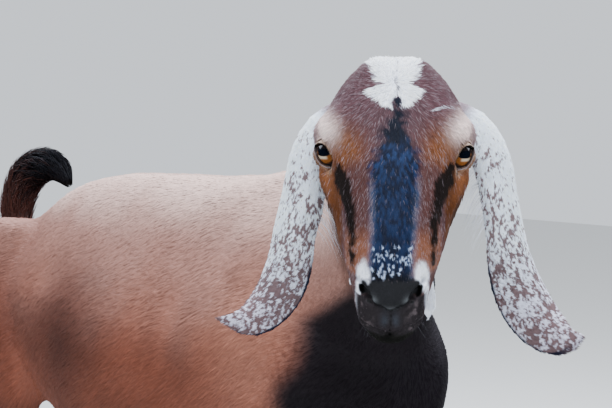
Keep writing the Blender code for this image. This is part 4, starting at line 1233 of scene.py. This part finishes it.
def lay_strands(name, lines, facing, width, colour, tip, unwrap):
    """Closed three-sided strands along curved lines, each from a blunt root to one point."""
    count, rings = lines.shape[0], lines.shape[1] - 1
    along = unit(np.gradient(lines, axis=1))
    across = unit(np.cross(along, facing[:, None]))
    out = np.cross(across, along)
    corners = []
    shares = []
    for ring in range(rings):
        share = ring / rings
        half = (width * (1 - share**2) / 2)[:, None]
        centre = lines[:, ring]
        corners += [
            centre - across[:, ring] * half,
            centre + across[:, ring] * half,
            centre + out[:, ring] * half * 0.8,
        ]
        shares += [share] * 3
    corners.append(lines[:, -1])
    shares.append(1.0)
    points = np.stack(corners, axis=1).reshape(-1, 3)
    faces = [(0, 2, 1)]
    for ring in range(rings - 1):
        for i in range(3):
            a, b = 3 * ring + i, 3 * ring + (i + 1) % 3
            faces += [(a, b, b + 3), (a, b + 3, a + 3)]
    last = 3 * (rings - 1)
    faces += [(last + i, last + (i + 1) % 3, 3 * rings) for i in range(3)]
    each = 3 * rings + 1
    faces = turned_out(points[:each] - points[:each].mean(axis=0), np.array(faces))
    faces = (faces[None] + each * np.arange(count)[:, None, None]).reshape(-1, 3)
    share = np.array(shares)[None, :, None]
    shade = (colour[:, None] * (1 - share) + tip[:, None] * share).reshape(-1, 3)
    offset = np.column_stack([np.tile((-0.5, 0.5, 0.0), rings + 1)[:each], np.array(shares) - 0.5])
    spots = (unwrap(lines[:, 0])[:, None] + offset[None] * BAKE_PATCH).reshape(-1, 2)
    return make_object(name, hair_mesh(name, points, faces, shade, spots))


def scattered(mesh, density, spacing, chance):
    """Random places over the mesh, about that far apart where the density is one, with normals."""
    points, normals = points_of(mesh), normals_of(mesh)
    triangles = triangles_of(mesh)
    first, second, third = (points[triangles[:, i]] for i in range(3))
    area = np.linalg.norm(np.cross(second - first, third - first), axis=1) / 2
    area = area * density((first + second + third) / 3)
    running = np.cumsum(area)
    count = int(running[-1] / (spacing * COARSE) ** 2)
    picks = (np.arange(count) + chance.random(count)) / count * running[-1]
    face = np.minimum(np.searchsorted(running, picks), len(area) - 1)
    one, two = chance.random(count), chance.random(count)
    beyond = one + two > 1
    one, two = np.where(beyond, 1 - one, one), np.where(beyond, 1 - two, two)
    weights = np.column_stack([1 - one - two, one, two])
    places = np.einsum("ni,nij->nj", weights, points[triangles[face]])
    facing = unit(np.einsum("ni,nij->nj", weights, normals[triangles[face]]))
    return places, facing


def coat_of(roots, normals, lie, length, width, lift, root_colour, tip):
    """All that the tufts of a coat are made from, a row for each."""
    return {
        "root": roots, "normal": normals, "lie": lie, "length": length, "width": width,
        "lift": lift, "colour": root_colour, "tip": np.clip(tip, 0, 0.95),
    }


def laid(way, normals):
    """A direction pressed flat on the skin."""
    return unit(way - normals * np.sum(way * normals, axis=1)[:, None])


def wisped(lie, normals, chance, spread):
    """The lie of each tuft turned a little at random, on the skin."""
    turn = chance.normal(0, spread, len(lie))[:, None]
    return unit(lie * np.cos(turn) + np.cross(normals, lie) * np.sin(turn))


def swirled(points, size, amount, seed):
    """A slow drift of the hair's lie from place to place."""
    return (cloud(points, size, seed) - 0.5) * 2 * amount


def head_lie(points, normals):
    """Hair runs out from the whorl on the poll, down the face and back to the neck."""
    head = into(HEAD, points)
    way = unit(head - np.array(WHORL_AT))
    down_nose = smoothstep(-0.02, 0.05, head[:, 1])[:, None]
    way = way * (1 - down_nose * 0.5) + np.array((0, 0.5, -0.15)) * down_nose
    way[:, 0] += np.sign(head[:, 0]) * smoothstep(0.004, 0.03, np.abs(head[:, 0])) * 0.25
    way[:, 0] += swirled(points, 0.012, 0.30, 21)
    return laid(ways_out_of(HEAD, way), normals)


def body_lie(points, normals):
    """Hair runs back along the trunk and down the sides and legs."""
    _, y, z = (points - SHIFT).T
    down = 0.25 + 0.5 * smoothstep(0.02, 0.10, np.abs(y)) + swirled(points, 0.06, 0.25, 22)
    legs = over("legs", z)
    way = np.column_stack([-1.0 * (1 - 0.85 * legs), np.zeros(len(points)), -down - 1.5 * legs])
    return laid(way, normals)


def chart(across, along):
    """Places on the unwrap, kept a little off its edges."""
    return np.column_stack([np.clip(across, 0.02, 0.98), np.clip(along, 0.02, 0.98)])


def turn_of(first, second, margin=0.02):
    """The angle round an axis, as a share of the unwrap's width between its margins."""
    return margin + (1 - 2 * margin) * (np.arctan2(first, second) / (2 * math.pi) + 0.5)


def head_unwrap(points):
    head = into(HEAD, points)
    return chart(turn_of(head[:, 0], head[:, 2] + 0.03), (head[:, 1] + 0.14) / 0.32)


def body_unwrap(points):
    low, high = solid_box
    along = (points[:, 0] - low[0]) / (high[0] - low[0])
    return chart(turn_of(points[:, 1] - SHIFT[1], points[:, 2] - 0.57), 0.02 + 0.96 * along)


# The legs' middles on the plan
LEG_ASIDE = 0.09
FORELEG_AT = 0.20
HINDLEG_AT = -0.40


def leg_unwrap(points):
    x, y, z = (points - SHIFT).T
    column = 2 * (x > 0) + (y > 0)
    aside, ahead = np.where(y > 0, LEG_ASIDE, -LEG_ASIDE), np.where(x > 0, FORELEG_AT, HINDLEG_AT)
    across = (column + turn_of(y - aside, x - ahead, 0.03)) / 4
    return np.column_stack([across, 0.02 + 0.96 * np.clip(z / 0.5, 0, 1)])


def ear_unwrap(points):
    local = into(FACE, points)
    return chart((local[:, 1] + 0.10) / 0.14, (local[:, 2] + 0.19) / 0.26)


def tail_unwrap(points):
    _, y, z = (points - SHIFT).T
    return chart((y + 0.04) / 0.12, (z - 0.62) / 0.16)


def head_hair(points, lines):
    """How thickly hair stands on the head: not on the pad, in the nostrils or on the lids' rims."""
    head = into(HEAD, points)
    _, bare, _, _ = coat_colour(points, lines)
    face = into(FACE, points)
    front = smoothstep(-0.030, 0.010, face[:, 1] + 0.4 * np.maximum(face[:, 2], 0))
    front = np.maximum(front, smoothstep(0.030, 0.055, face[:, 2]))
    thick = 0.22 + 0.78 * front
    keep = (face[:, 1] > HEAD_BEHIND - 0.015) & (bare < 0.5)
    for side in (1, -1):
        out, along, up = into(eye_frame(side), head).T
        near = (out > 0) & (np.hypot(along, up) < 0.024)
        lid = 0.0026 + 0.0036 * smoothstep(0.0, 0.004, up) * smoothstep(0.010, 0.002, along)
        keep &= ~(near & (past_margin(along, up) < lid))
        keep &= reach_of(head, lines["nostril", side][:NOSTRIL_OPEN]) > 0.0035
        keep &= reach_of(head, lines["mouth", side]) > 0.0012
    return keep * thick


def pale_hairs(colour, frost, chance):
    """Single pale hairs among the others, lighter where their neighbours are lighter."""
    bright = colour.mean(axis=1)[:, None]
    pale = MAUVE_FROST * (0.45 + np.minimum(bright * 3.0, 0.75))
    share = chance.uniform(0.10, 0.62, len(colour)) * (chance.random(len(colour)) < frost)
    return blend(colour, pale, share)


def parts_of(coat, number):
    """The tufts in a few lots of equal size, so that no piece grows too large."""
    count = len(coat["root"])
    for lot in range(number):
        part = slice(count * lot // number, count * (lot + 1) // number)
        yield {key: rows[part] for key, rows in coat.items()}


def coat_head(skin, lines):
    chance = np.random.default_rng(SEED)
    roots, normals = scattered(skin.data, lambda points: head_hair(points, lines), FACE_SPACING, chance)
    count = len(roots)
    head = into(HEAD, roots)
    face = into(FACE, roots)
    nose = smoothstep(0.02, 0.14, head[:, 1])
    lip = smoothstep(0.132, 0.145, head[:, 1])
    long, wide = FACE_HAIR
    size = long - 0.0032 * nose - 0.0022 * lip
    behind = 1 - smoothstep(-0.060, -0.010, face[:, 1] + 0.5 * face[:, 2])
    size = size + 0.0050 * behind
    for side in (1, -1):
        reach = np.linalg.norm(head - np.array(eye_frame(side).translation), axis=1)
        size = size * (0.42 + 0.58 * smoothstep(0.013, 0.030, reach))
    length = size * chance.uniform(0.75, 1.25, count)
    width = (wide + 0.00014 * (1 - nose) + 0.0007 * behind) * chance.uniform(0.8, 1.2, count)
    lift = length * 0.11 * chance.uniform(0.3, 1.7, count)
    lie = wisped(head_lie(roots, normals), normals, chance, 0.20)
    colour, _, frost, _ = coat_colour(roots + lie * length[:, None] * 0.5, lines)
    colour = pale_hairs(colour, frost, chance)
    colour = np.clip(colour * chance.normal(1.0, 0.11, count)[:, None], 0.002, 0.95)
    coat = coat_of(roots, normals, lie, length, width, lift, colour * 0.82, colour * 1.16 + 0.002)
    return [lay_tufts(f"coat_head_{i}", part, head_unwrap) for i, part in enumerate(parts_of(coat, 2))]


def bent_lines(roots, way, normals, length, lift, droop, rings):
    """Curved middle lines of strands: along their way, up by lift and then down by droop."""
    steps = np.linspace(0, 1, rings + 1)[None, :, None]
    reach = way[:, None] * length[:, None, None] * steps
    rise = normals[:, None] * (lift[:, None, None] * (1.6 * steps - 0.6 * steps**2))
    sag = np.array((0, 0, -1.0)) * (droop[:, None, None] * steps**2)
    return roots[:, None] + reach + rise + sag


def coat_poll(skin, lines):
    """Longer white hair that fans out from the whorl on the poll."""
    chance = np.random.default_rng(SEED + 8)

    def on_patch(points):
        _, _, _, patch = coat_colour(points, lines)
        return patch

    roots, normals = scattered(skin.data, on_patch, POLL_SPACING, chance)
    lie = wisped(head_lie(roots, normals), normals, chance, 0.26)
    long, wide = POLL_HAIR
    length = long * chance.uniform(0.6, 1.3, len(roots))
    kept = on_patch(roots + lie * length[:, None] * 0.8) > 0.5
    roots, normals, lie, length = roots[kept], normals[kept], lie[kept], length[kept]
    count = len(roots)
    lift = length * chance.uniform(0.00, 0.06, count)
    lines_made = bent_lines(roots, lie, normals, length, lift, length * 0.06, 3)
    colour, _, _, _ = coat_colour(roots + lie * length[:, None] * 0.5, lines)
    white = colour * np.clip(chance.normal(1.0, 0.06, count), 0.80, 1.1)[:, None]
    width = wide * chance.uniform(0.7, 1.3, count)
    tip = np.minimum(white * 1.06, 0.97)
    return lay_strands("coat_poll", lines_made, normals, width, white * 0.88, tip, head_unwrap)


def coat_ear(skin, word, side):
    chance = np.random.default_rng(SEED + side + 5)
    roots, normals = scattered(skin.data, lambda points: np.ones(len(points)), EAR_SPACING, chance)
    count = len(roots)
    local = into(FACE, roots)
    drop = smoothstep(0.02, 0.14, -local[:, 2])
    way = np.column_stack([side * (0.15 + 1.1 * drop**2), np.zeros(count), -1.0 + 0.45 * drop])
    way[:, 0] += swirled(roots, 0.02, 0.25, 23)
    lie = wisped(laid(ways_out_of(FACE, way), normals), normals, chance, 0.20)
    long, wide = EAR_HAIR
    length = long * chance.uniform(0.7, 1.3, count)
    colour, _, _ = ear_colour(roots + lie * length[:, None] * 0.5, word, side)
    width = wide * chance.uniform(0.8, 1.2, count)
    lift = length * 0.10 * chance.uniform(0.3, 1.7, count)
    colour = np.clip(colour * chance.normal(1.0, 0.07, count)[:, None], 0.002, 0.93)
    coat = coat_of(roots, normals, lie, length, width, lift, colour * 0.92, colour * 1.05)
    return lay_tufts("coat_ear_" + word, coat, ear_unwrap)


def ear_wisps(skin, word, side):
    """Long pale hairs that curve in from the ear's inner margin towards the face."""
    chance = np.random.default_rng(SEED + side + 31)

    def on_margin(points):
        along, from_inner, _ = ear_places(points, word, side)
        return (from_inner < 0.004) * smoothstep(0.20, 0.28, along) * smoothstep(0.50, 0.42, along)

    roots, normals = scattered(skin.data, on_margin, WISP_SPACING, chance)
    count = len(roots)
    way = np.column_stack([
        np.full(count, -side * 1.0) * chance.uniform(0.5, 1.1, count),
        chance.normal(0.10, 0.15, count),
        -chance.uniform(0.35, 0.9, count),
    ])
    way = unit(ways_out_of(FACE, way))
    length = chance.uniform(0.010, 0.026, count)
    lines_made = bent_lines(roots, way, normals, length, length * 0.05, length * 0.9, 6)
    white = WHITE * chance.uniform(0.75, 1.05, count)[:, None]
    width = np.full(count, WISP_WIDE)
    return lay_strands("ear_wisps_" + word, lines_made, normals, width, white, white, ear_unwrap)


def on_trunk(points):
    _, _, z = (points - SHIFT).T
    return ((z > 0.40) & (into(FACE, points)[:, 1] <= HEAD_BEHIND)).astype(float)


def on_legs(points):
    return (points[:, 2] <= 0.41).astype(float)


def coat_body(skin, lines, name, wanted, spacing, long, wide, unwrap, lots):
    chance = np.random.default_rng(SEED + lots)
    roots, normals = scattered(skin.data, wanted, spacing, chance)
    order = np.argsort(roots[:, 0], kind="stable")
    roots, normals = roots[order], normals[order]
    colour, bare, _, _ = coat_colour(roots, lines)
    haired = bare < 0.5
    roots, normals, colour = roots[haired], normals[haired], colour[haired]
    count = len(roots)
    fore = smoothstep(0.22, 0.33, roots[:, 0] - SHIFT[0])
    length = long * (1 - 0.45 * fore) * chance.uniform(0.75, 1.25, count)
    colour = np.clip(colour * chance.normal(1.0, 0.08, count)[:, None], 0.002, 0.9)
    lie = wisped(body_lie(roots, normals), normals, chance, 0.12)
    width = wide * (1 - 0.3 * fore) * chance.uniform(0.8, 1.2, count)
    lift = length * (0.055 - 0.020 * fore) * chance.uniform(0.2, 1.8, count)
    coat = coat_of(roots, normals, lie, length, width, lift, colour * 0.90, colour * 1.08)
    return [lay_tufts(f"{name}_{i}", part, unwrap) for i, part in enumerate(parts_of(coat, lots))]


# The coats of the trunk and the legs: name, where it grows, spacing of its roots, length and
# width of its hair, unwrap, number of pieces, and colour slot
BODY_COATS = (
    ("coat_trunk", on_trunk, 0.0031, 0.017, 0.0019, body_unwrap, 3, "coat_chestnut"),
    ("coat_legs", on_legs, 0.0030, 0.011, 0.0016, leg_unwrap, 1, "coat_black"),
)

# The tail from its root: place, along, aside and up as the source has them, then the half
# width of its coat
TAIL_STATIONS = (
    (0.00, -0.459, 0.000, 0.652, 0.022),
    (0.16, -0.497, 0.002, 0.674, 0.024),
    (0.36, -0.505, 0.008, 0.714, 0.027),
    (0.56, -0.489, 0.018, 0.752, 0.029),
    (0.74, -0.459, 0.030, 0.765, 0.026),
    (0.90, -0.431, 0.040, 0.754, 0.017),
    (1.00, -0.415, 0.045, 0.734, 0.004),
)
# The core's share of the coat's depth, its rings over the tail's whole length, the ring it ends
# with inside the locks, and its sides
TAIL_CORE = 0.46
TAIL_RINGS = 41
TAIL_CORE_END = 37
TAIL_SIDES = 20
TAIL_HAIRS = 3400
TAIL_STEPS = 200
# One lock from root to tip: place, and its share of the coat's depth
LOCK_SHAPE = ((0.00, 0.30), (0.20, 0.62), (0.45, 0.86), (0.70, 0.98), (0.88, 1.04), (1.00, 1.08))


def tail_frames(count):
    rows = spline(TAIL_STATIONS, count)
    centres = rows[:, 1:4] + SHIFT
    ahead = unit(np.gradient(centres, axis=0))
    side = unit(np.array((0, 1.0, 0)) - ahead * ahead[:, 1:2])
    return centres, ahead, side, np.cross(side, ahead), rows[:, 4]


def tail_core():
    """The tail's core under its locks: rings joined into a closed tube."""
    centres, _, side, up, depth = tail_frames(TAIL_RINGS)
    turn = np.linspace(0, 2 * math.pi, TAIL_SIDES, endpoint=False)
    form = bmesh.new()
    rows = []
    for i in range(TAIL_CORE_END):
        core = TAIL_CORE * depth[i]
        ring = centres[i] + np.outer(np.sin(turn), side[i]) * core + np.outer(np.cos(turn), up[i]) * core
        rows.append([form.verts.new(point) for point in ring])
    for first, second in zip(rows, rows[1:]):
        for i in range(TAIL_SIDES):
            j = (i + 1) % TAIL_SIDES
            form.faces.new((first[i], first[j], second[j], second[i]))
    form.faces.new(rows[0][::-1])
    form.faces.new(rows[-1])
    bmesh.ops.recalc_face_normals(form, faces=form.faces)
    mesh = bpy.data.meshes.new("tail_skin")
    form.to_mesh(mesh)
    form.free()
    paint_points(mesh, plain(WARM_BLACK, mesh.vertices), np.zeros(len(mesh.vertices)))
    mesh.shade_smooth()
    return make_object("tail_skin", mesh)


def tail_locks():
    """Long black hair along the tail, with a rusty base."""
    chance = np.random.default_rng(SEED + 40)
    count = int(TAIL_HAIRS / COARSE)
    centres, _, side, up, depth = tail_frames(TAIL_STEPS + 1)
    start = chance.random(count) ** 0.9 * 0.80
    long = np.minimum(chance.uniform(0.16, 0.36, count), 1.0 - start)
    angle = chance.uniform(0, 2 * math.pi, count)
    spread = chance.uniform(0.55, 1.0, count)
    lines_made = np.empty((count, len(LOCK_SHAPE), 3))
    for ring, (place, rise) in enumerate(LOCK_SHAPE):
        at = np.clip(((start + long * place) * TAIL_STEPS).astype(int), 0, TAIL_STEPS)
        drift = angle + chance.normal(0, 0.10, count) * place
        out = side[at] * np.sin(drift)[:, None] + up[at] * np.cos(drift)[:, None]
        lines_made[:, ring] = centres[at] + out * (depth[at] * (0.34 + (rise - 0.34) * spread))[:, None]
    at = (start * TAIL_STEPS).astype(int)
    facing = side[at] * np.sin(angle)[:, None] + up[at] * np.cos(angle)[:, None]
    rusty = smoothstep(0.55, 0.05, start + chance.normal(0, 0.1, count))
    colour = blend(plain(BLACK, start), CHESTNUT_DARK, 0.8 * rusty)
    colour = colour * chance.uniform(0.7, 1.4, count)[:, None]
    width = 0.0021 * chance.uniform(0.7, 1.3, count)
    return lay_strands("tail_locks", lines_made, facing, width, colour, colour * 1.3, tail_unwrap)


def make_wattle(word):
    """A white hairy lobe at the throat, from its solid."""
    skin = joined_nodes("wattle_skin_" + word, ["wattle_" + word], -WATTLE_UNDER_COAT)
    fused(skin, WATTLE_VOXEL, 3)
    mesh = skin.data
    points = points_of(mesh)
    paint_points(mesh, plain(WHITE * 0.95, points), np.zeros(len(points)))
    mesh.shade_smooth()
    chance = np.random.default_rng(SEED + 50)
    roots, normals = scattered(mesh, lambda points: np.ones(len(points)), WATTLE_SPACING, chance)
    count = len(roots)
    lie = laid(plain(np.array((0, 0, -1.0)), roots), normals)
    long, wide = WATTLE_HAIR
    length = long * chance.uniform(0.6, 1.2, count)
    white = np.clip(WHITE * chance.normal(1.0, 0.07, count)[:, None], 0, 0.95)
    lie = wisped(lie, normals, chance, 0.14)
    lift = length * 0.06 * chance.uniform(0.3, 1.7, count)
    coat = coat_of(roots, normals, lie, length, np.full(count, wide), lift, white * 0.9, white)
    return skin, lay_tufts("coat_wattle_" + word, coat, ear_unwrap)


class Strands:
    """Single hairs on a skin, gathered one by one and then made into one piece."""

    def __init__(self, skin):
        self.tree = search_tree(skin.data)
        self.rows = []

    def add(self, at, way, size, width, colour, droop=0.2, flat=0.0):
        """A hair rooted near a place. A flat one is laid on the face from straight ahead."""
        found, normal, _, _ = self.tree.find_nearest(Vector(at))
        if flat:
            found, normal, _, _ = self.tree.ray_cast(Vector(at), -FACE.to_3x3().col[1])
        normal = np.array(normal)
        root = np.array(found) - normal * 0.0004
        way = np.array(way) - flat * normal * np.dot(way, normal)
        self.rows.append((root, normal, way, size, width, colour, size * droop))

    def piece(self, name):
        roots, facing, way, sizes, widths, colour, droops = map(np.array, zip(*self.rows))
        way = unit(way - facing * np.minimum(np.sum(way * facing, axis=1), 0)[:, None])
        lines_made = bent_lines(roots, way, facing, sizes, sizes * 0.08, droops, 5)
        return lay_strands(name, lines_made, facing, widths, colour, colour, head_unwrap)


def whiskers(strands, chance):
    for _ in range(WHISKERS):
        side = chance.choice((1, -1))
        out, ahead = side * chance.uniform(0.004, 0.028), chance.uniform(0.128, 0.158)
        at = out_of(HEAD, np.array((out, ahead, -chance.uniform(0.050, 0.074))))
        way = ways_out_of(HEAD, unit(np.array((side * chance.uniform(0.1, 0.9), 0.55, -0.9))))
        colour = WHITE * 0.12 if chance.random() < 0.5 else WARM_BLACK
        strands.add(at, way, chance.uniform(0.006, 0.017), WHISKER_WIDE, colour)


def lashes(strands, chance):
    for side in (1, -1):
        place = HEAD @ eye_frame(side)
        for along in np.linspace(-0.0115, 0.0060, LASHES):
            up = np.interp(along, *np.array(LID_MARGINS).T[:2])
            at = place @ Vector((0.0150, along + chance.normal(0, 0.0003), up + 0.0012))
            way = place.to_3x3() @ Vector((0.85, along * 18, 0.30 + chance.normal(0, 0.12))).normalized()
            strands.add(at, way, chance.uniform(0.0025, 0.0048), LASH_WIDE, WARM_BLACK * 1.5, 0.35)


def brow_arc(strands, chance):
    """Pale hairs in an arc over the left brow, laid flat."""
    for step in np.linspace(0, 1, ARC_HAIRS):
        out = -0.0300 - 0.0280 * step
        up = 0.0330 + 0.0125 * math.sin(math.pi * (0.15 + 0.62 * step))
        at = out_of(FACE, np.array((out, 0.150, up + chance.normal(0, 0.0006))))
        way = ways_out_of(FACE, unit(np.array((-0.9, 0.0, 0.55 - 1.3 * step + chance.normal(0, 0.08)))))
        strands.add(at, way, chance.uniform(0.006, 0.010), ARC_WIDE, WHITE * 0.80, 0.0, 0.85)


def face_strands(skin):
    """Whiskers at the lips and chin, lashes on the upper lids and the brow's pale arc."""
    chance = np.random.default_rng(SEED + 60)
    strands = Strands(skin)
    whiskers(strands, chance)
    lashes(strands, chance)
    brow_arc(strands, chance)
    return strands.piece("face_hairs")


# The pupil's half width and half height, the iris from its middle outward, and how far the
# cornea bulges, as a share of the radius
PUPIL = (0.0062, 0.0034)
IRIS = 0.0118
CORNEA = 0.045


def eye_colour(up, across, away, seen):
    """An amber iris, pale below and shaded by the upper lid, with a level slot pupil."""
    turn = np.arctan2(up, across)
    streak = cloud(np.column_stack([np.cos(turn) * 8, np.sin(turn) * 8, away * 300]), 0.6, 7)
    amber = blend(plain(AMBER, up), AMBER_PALE, 0.7 * streak)
    cream = over("cream top", up) * over("cream bottom", up) * over("cream side", across)
    amber = blend(amber, CREAM, 0.9 * cream)
    amber = blend(amber, IRIS_SHADE, over("iris shade", up))
    amber = blend(amber, AMBER_RIM, smoothstep(IRIS - 0.0022, IRIS - 0.0002, away))
    colour = blend(amber, EYE_EDGE, smoothstep(IRIS - 0.0004, IRIS + 0.0004, away))
    wide, high = PUPIL
    slot = (np.abs(across) / wide) ** 2.6 + (np.abs(up) / high) ** 2.6
    return blend(colour, PUPIL_DARK, seen * smoothstep(1.25, 0.90, slot))


def make_eye(word, side):
    """An eyeball, painted from the middle of its gaze outward, with a bulging cornea."""
    bpy.ops.mesh.primitive_uv_sphere_add(segments=128, ring_count=96, radius=EYE_RADIUS, location=(0, 0, 0))
    ball = bpy.context.object
    ball.name = "eyeball_" + word
    mesh = ball.data
    place = HEAD @ eye_frame(side)
    centre = np.array(place.translation)
    mesh.transform(Matrix.Translation(place.translation))
    points = points_of(mesh)
    ways = unit(points - centre)
    gaze = HEAD.to_3x3() @ Vector((GAZE.x * side, GAZE.y, GAZE.z)).normalized()
    level = (Vector((0, 0, 1)) - gaze * gaze.z).normalized()
    inner = gaze.cross(level) * side
    inner = inner if inner.dot(HEAD.to_3x3() @ Vector((-side, 0, 0))) > 0 else -inner
    up = ways @ np.array(level) * EYE_RADIUS
    across = ways @ np.array(inner) * EYE_RADIUS
    ahead = ways @ np.array(gaze)
    away = np.arccos(np.clip(ahead, -1, 1)) * EYE_RADIUS
    paint_points(mesh, eye_colour(up, across, away, ahead > 0))
    bulge = 1 + CORNEA * smoothstep(0.0110, 0.0, away)
    set_points(mesh, centre + (points - centre) * bulge[:, None])
    mesh.shade_smooth()
    return ball


def finish_piece(piece, paint, slot, *nodes):
    piece.data.materials.clear()
    piece.data.materials.append(paint)
    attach(piece, "root")
    if nodes:
        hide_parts(*nodes)


def set_camera():
    ahead = Vector((-math.cos(CAMERA_TURN), math.sin(CAMERA_TURN), 0)) * math.cos(CAMERA_TILT)
    ahead.z = -math.sin(CAMERA_TILT)
    right = Vector((math.sin(CAMERA_TURN), math.cos(CAMERA_TURN), 0))
    up = right.cross(ahead)
    lens = bpy.data.cameras.new("camera")
    lens.lens = LENS
    lens.sensor_width = FILM_WIDTH
    eye = bpy.data.objects.new("camera", lens)
    bpy.context.scene.collection.objects.link(eye)
    stand = Matrix((right, up, -ahead)).transposed().to_4x4()
    off_middle = ahead + FACE_RIGHT_OF_MIDDLE * right + FACE_ABOVE_MIDDLE * up
    stand.translation = FACE.translation - CAMERA_AWAY * off_middle
    eye.matrix_world = stand
    bpy.context.scene.camera = eye


SKY_COLOUR = (0.88, 0.93, 1.0, 1)
SKY_STRENGTH = 1.05
FLOOR_SIZE = 14
HEAD_AIM = (0.45, -0.15, 0.8)
# Each lamp: name, place, size, watts, colour, what it aims at, and whether the eyes mirror it
LIGHTS = (
    ("top", (0.2, 0.5, 3.0), (2.6, 2.6), 125, (0.92, 0.96, 1.0), (0.1, 0, 0.7), False),
    ("front", (1.49, -0.99, 2.93), (1.7, 0.5), 84, (0.86, 0.92, 1.0), HEAD_AIM, True),
    ("right sky", (-1.40, -0.66, 2.05), (2.0, 1.2), 58, (0.80, 0.88, 1.0), HEAD_AIM, True),
    ("left sky", (0.56, 1.76, 2.05), (2.0, 1.2), 58, (0.80, 0.88, 1.0), HEAD_AIM, True),
)


def add_light(name, at, size, power, colour, aim, mirrored):
    lamp = bpy.data.lights.new(name, "AREA")
    lamp.shape = "RECTANGLE"
    lamp.size, lamp.size_y = size
    lamp.energy = power
    lamp.color = colour
    made = bpy.data.objects.new(name, lamp)
    bpy.context.scene.collection.objects.link(made)
    made.visible_glossy = mirrored
    made.location = at
    made.rotation_euler = (Vector(aim) - Vector(at)).to_track_quat("-Z", "Y").to_euler()


def set_studio():
    world = bpy.data.worlds.new("studio")
    bpy.context.scene.world = world
    world.use_nodes = True
    sky = world.node_tree.nodes["Background"]
    sky.inputs["Color"].default_value = SKY_COLOUR
    sky.inputs["Strength"].default_value = SKY_STRENGTH
    world.cycles_visibility.glossy = False
    for light in LIGHTS:
        add_light(*light)
    bpy.ops.mesh.primitive_plane_add(size=FLOOR_SIZE)
    floor = bpy.context.object
    floor.name = "floor"
    floor.visible_glossy = False
    floor.data.materials.append(floor_paint())


def dress():
    short_coat, wet, horn = skin_paint(), eye_paint(), horn_paint()
    fine_hair, body_hair = hair_paint("fine hair", 0.56), hair_paint("sleek hair", 0.50)
    skin, lines = make_skin()
    colour, bare, _, _ = coat_colour(points_of(skin.data), lines)
    paint_points(skin.data, colour * (0.85 + 0.15 * bare[:, None]), bare)
    finish_piece(skin, short_coat, "coat_chestnut", *FLESH)
    for word, side in (("r", 1), ("l", -1)):
        ear = make_ear_skin(word)
        colour, _, _ = ear_colour(points_of(ear.data), word, side)
        paint_points(ear.data, colour * 0.9, np.zeros(len(colour)))
        finish_piece(ear, short_coat, "coat_roan", "ear_" + word)
        finish_piece(coat_ear(ear, word, side), fine_hair, "coat_roan")
        finish_piece(ear_wisps(ear, word, side), fine_hair, "coat_roan")
        finish_piece(make_eye(word, side), wet, "eye", "eye_" + word)
        lobe, lobe_coat = make_wattle(word)
        finish_piece(lobe, short_coat, "coat_white", "wattle_" + word)
        finish_piece(lobe_coat, fine_hair, "coat_white")
    for piece in [*coat_head(skin, lines), coat_poll(skin, lines), face_strands(skin)]:
        finish_piece(piece, fine_hair, "coat_chestnut")
    for *coat, slot in BODY_COATS:
        for piece in coat_body(skin, lines, *coat):
            finish_piece(piece, body_hair, slot)
    finish_piece(tail_core(), short_coat, "coat_black", "tail_root", "tail_tip")
    finish_piece(tail_locks(), body_hair, "coat_black")
    for name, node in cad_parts.items():
        if name.startswith(("hoof", "dewclaw")):
            for slot in node.material_slots:
                slot.material = horn


set_camera()
set_studio()
dress()
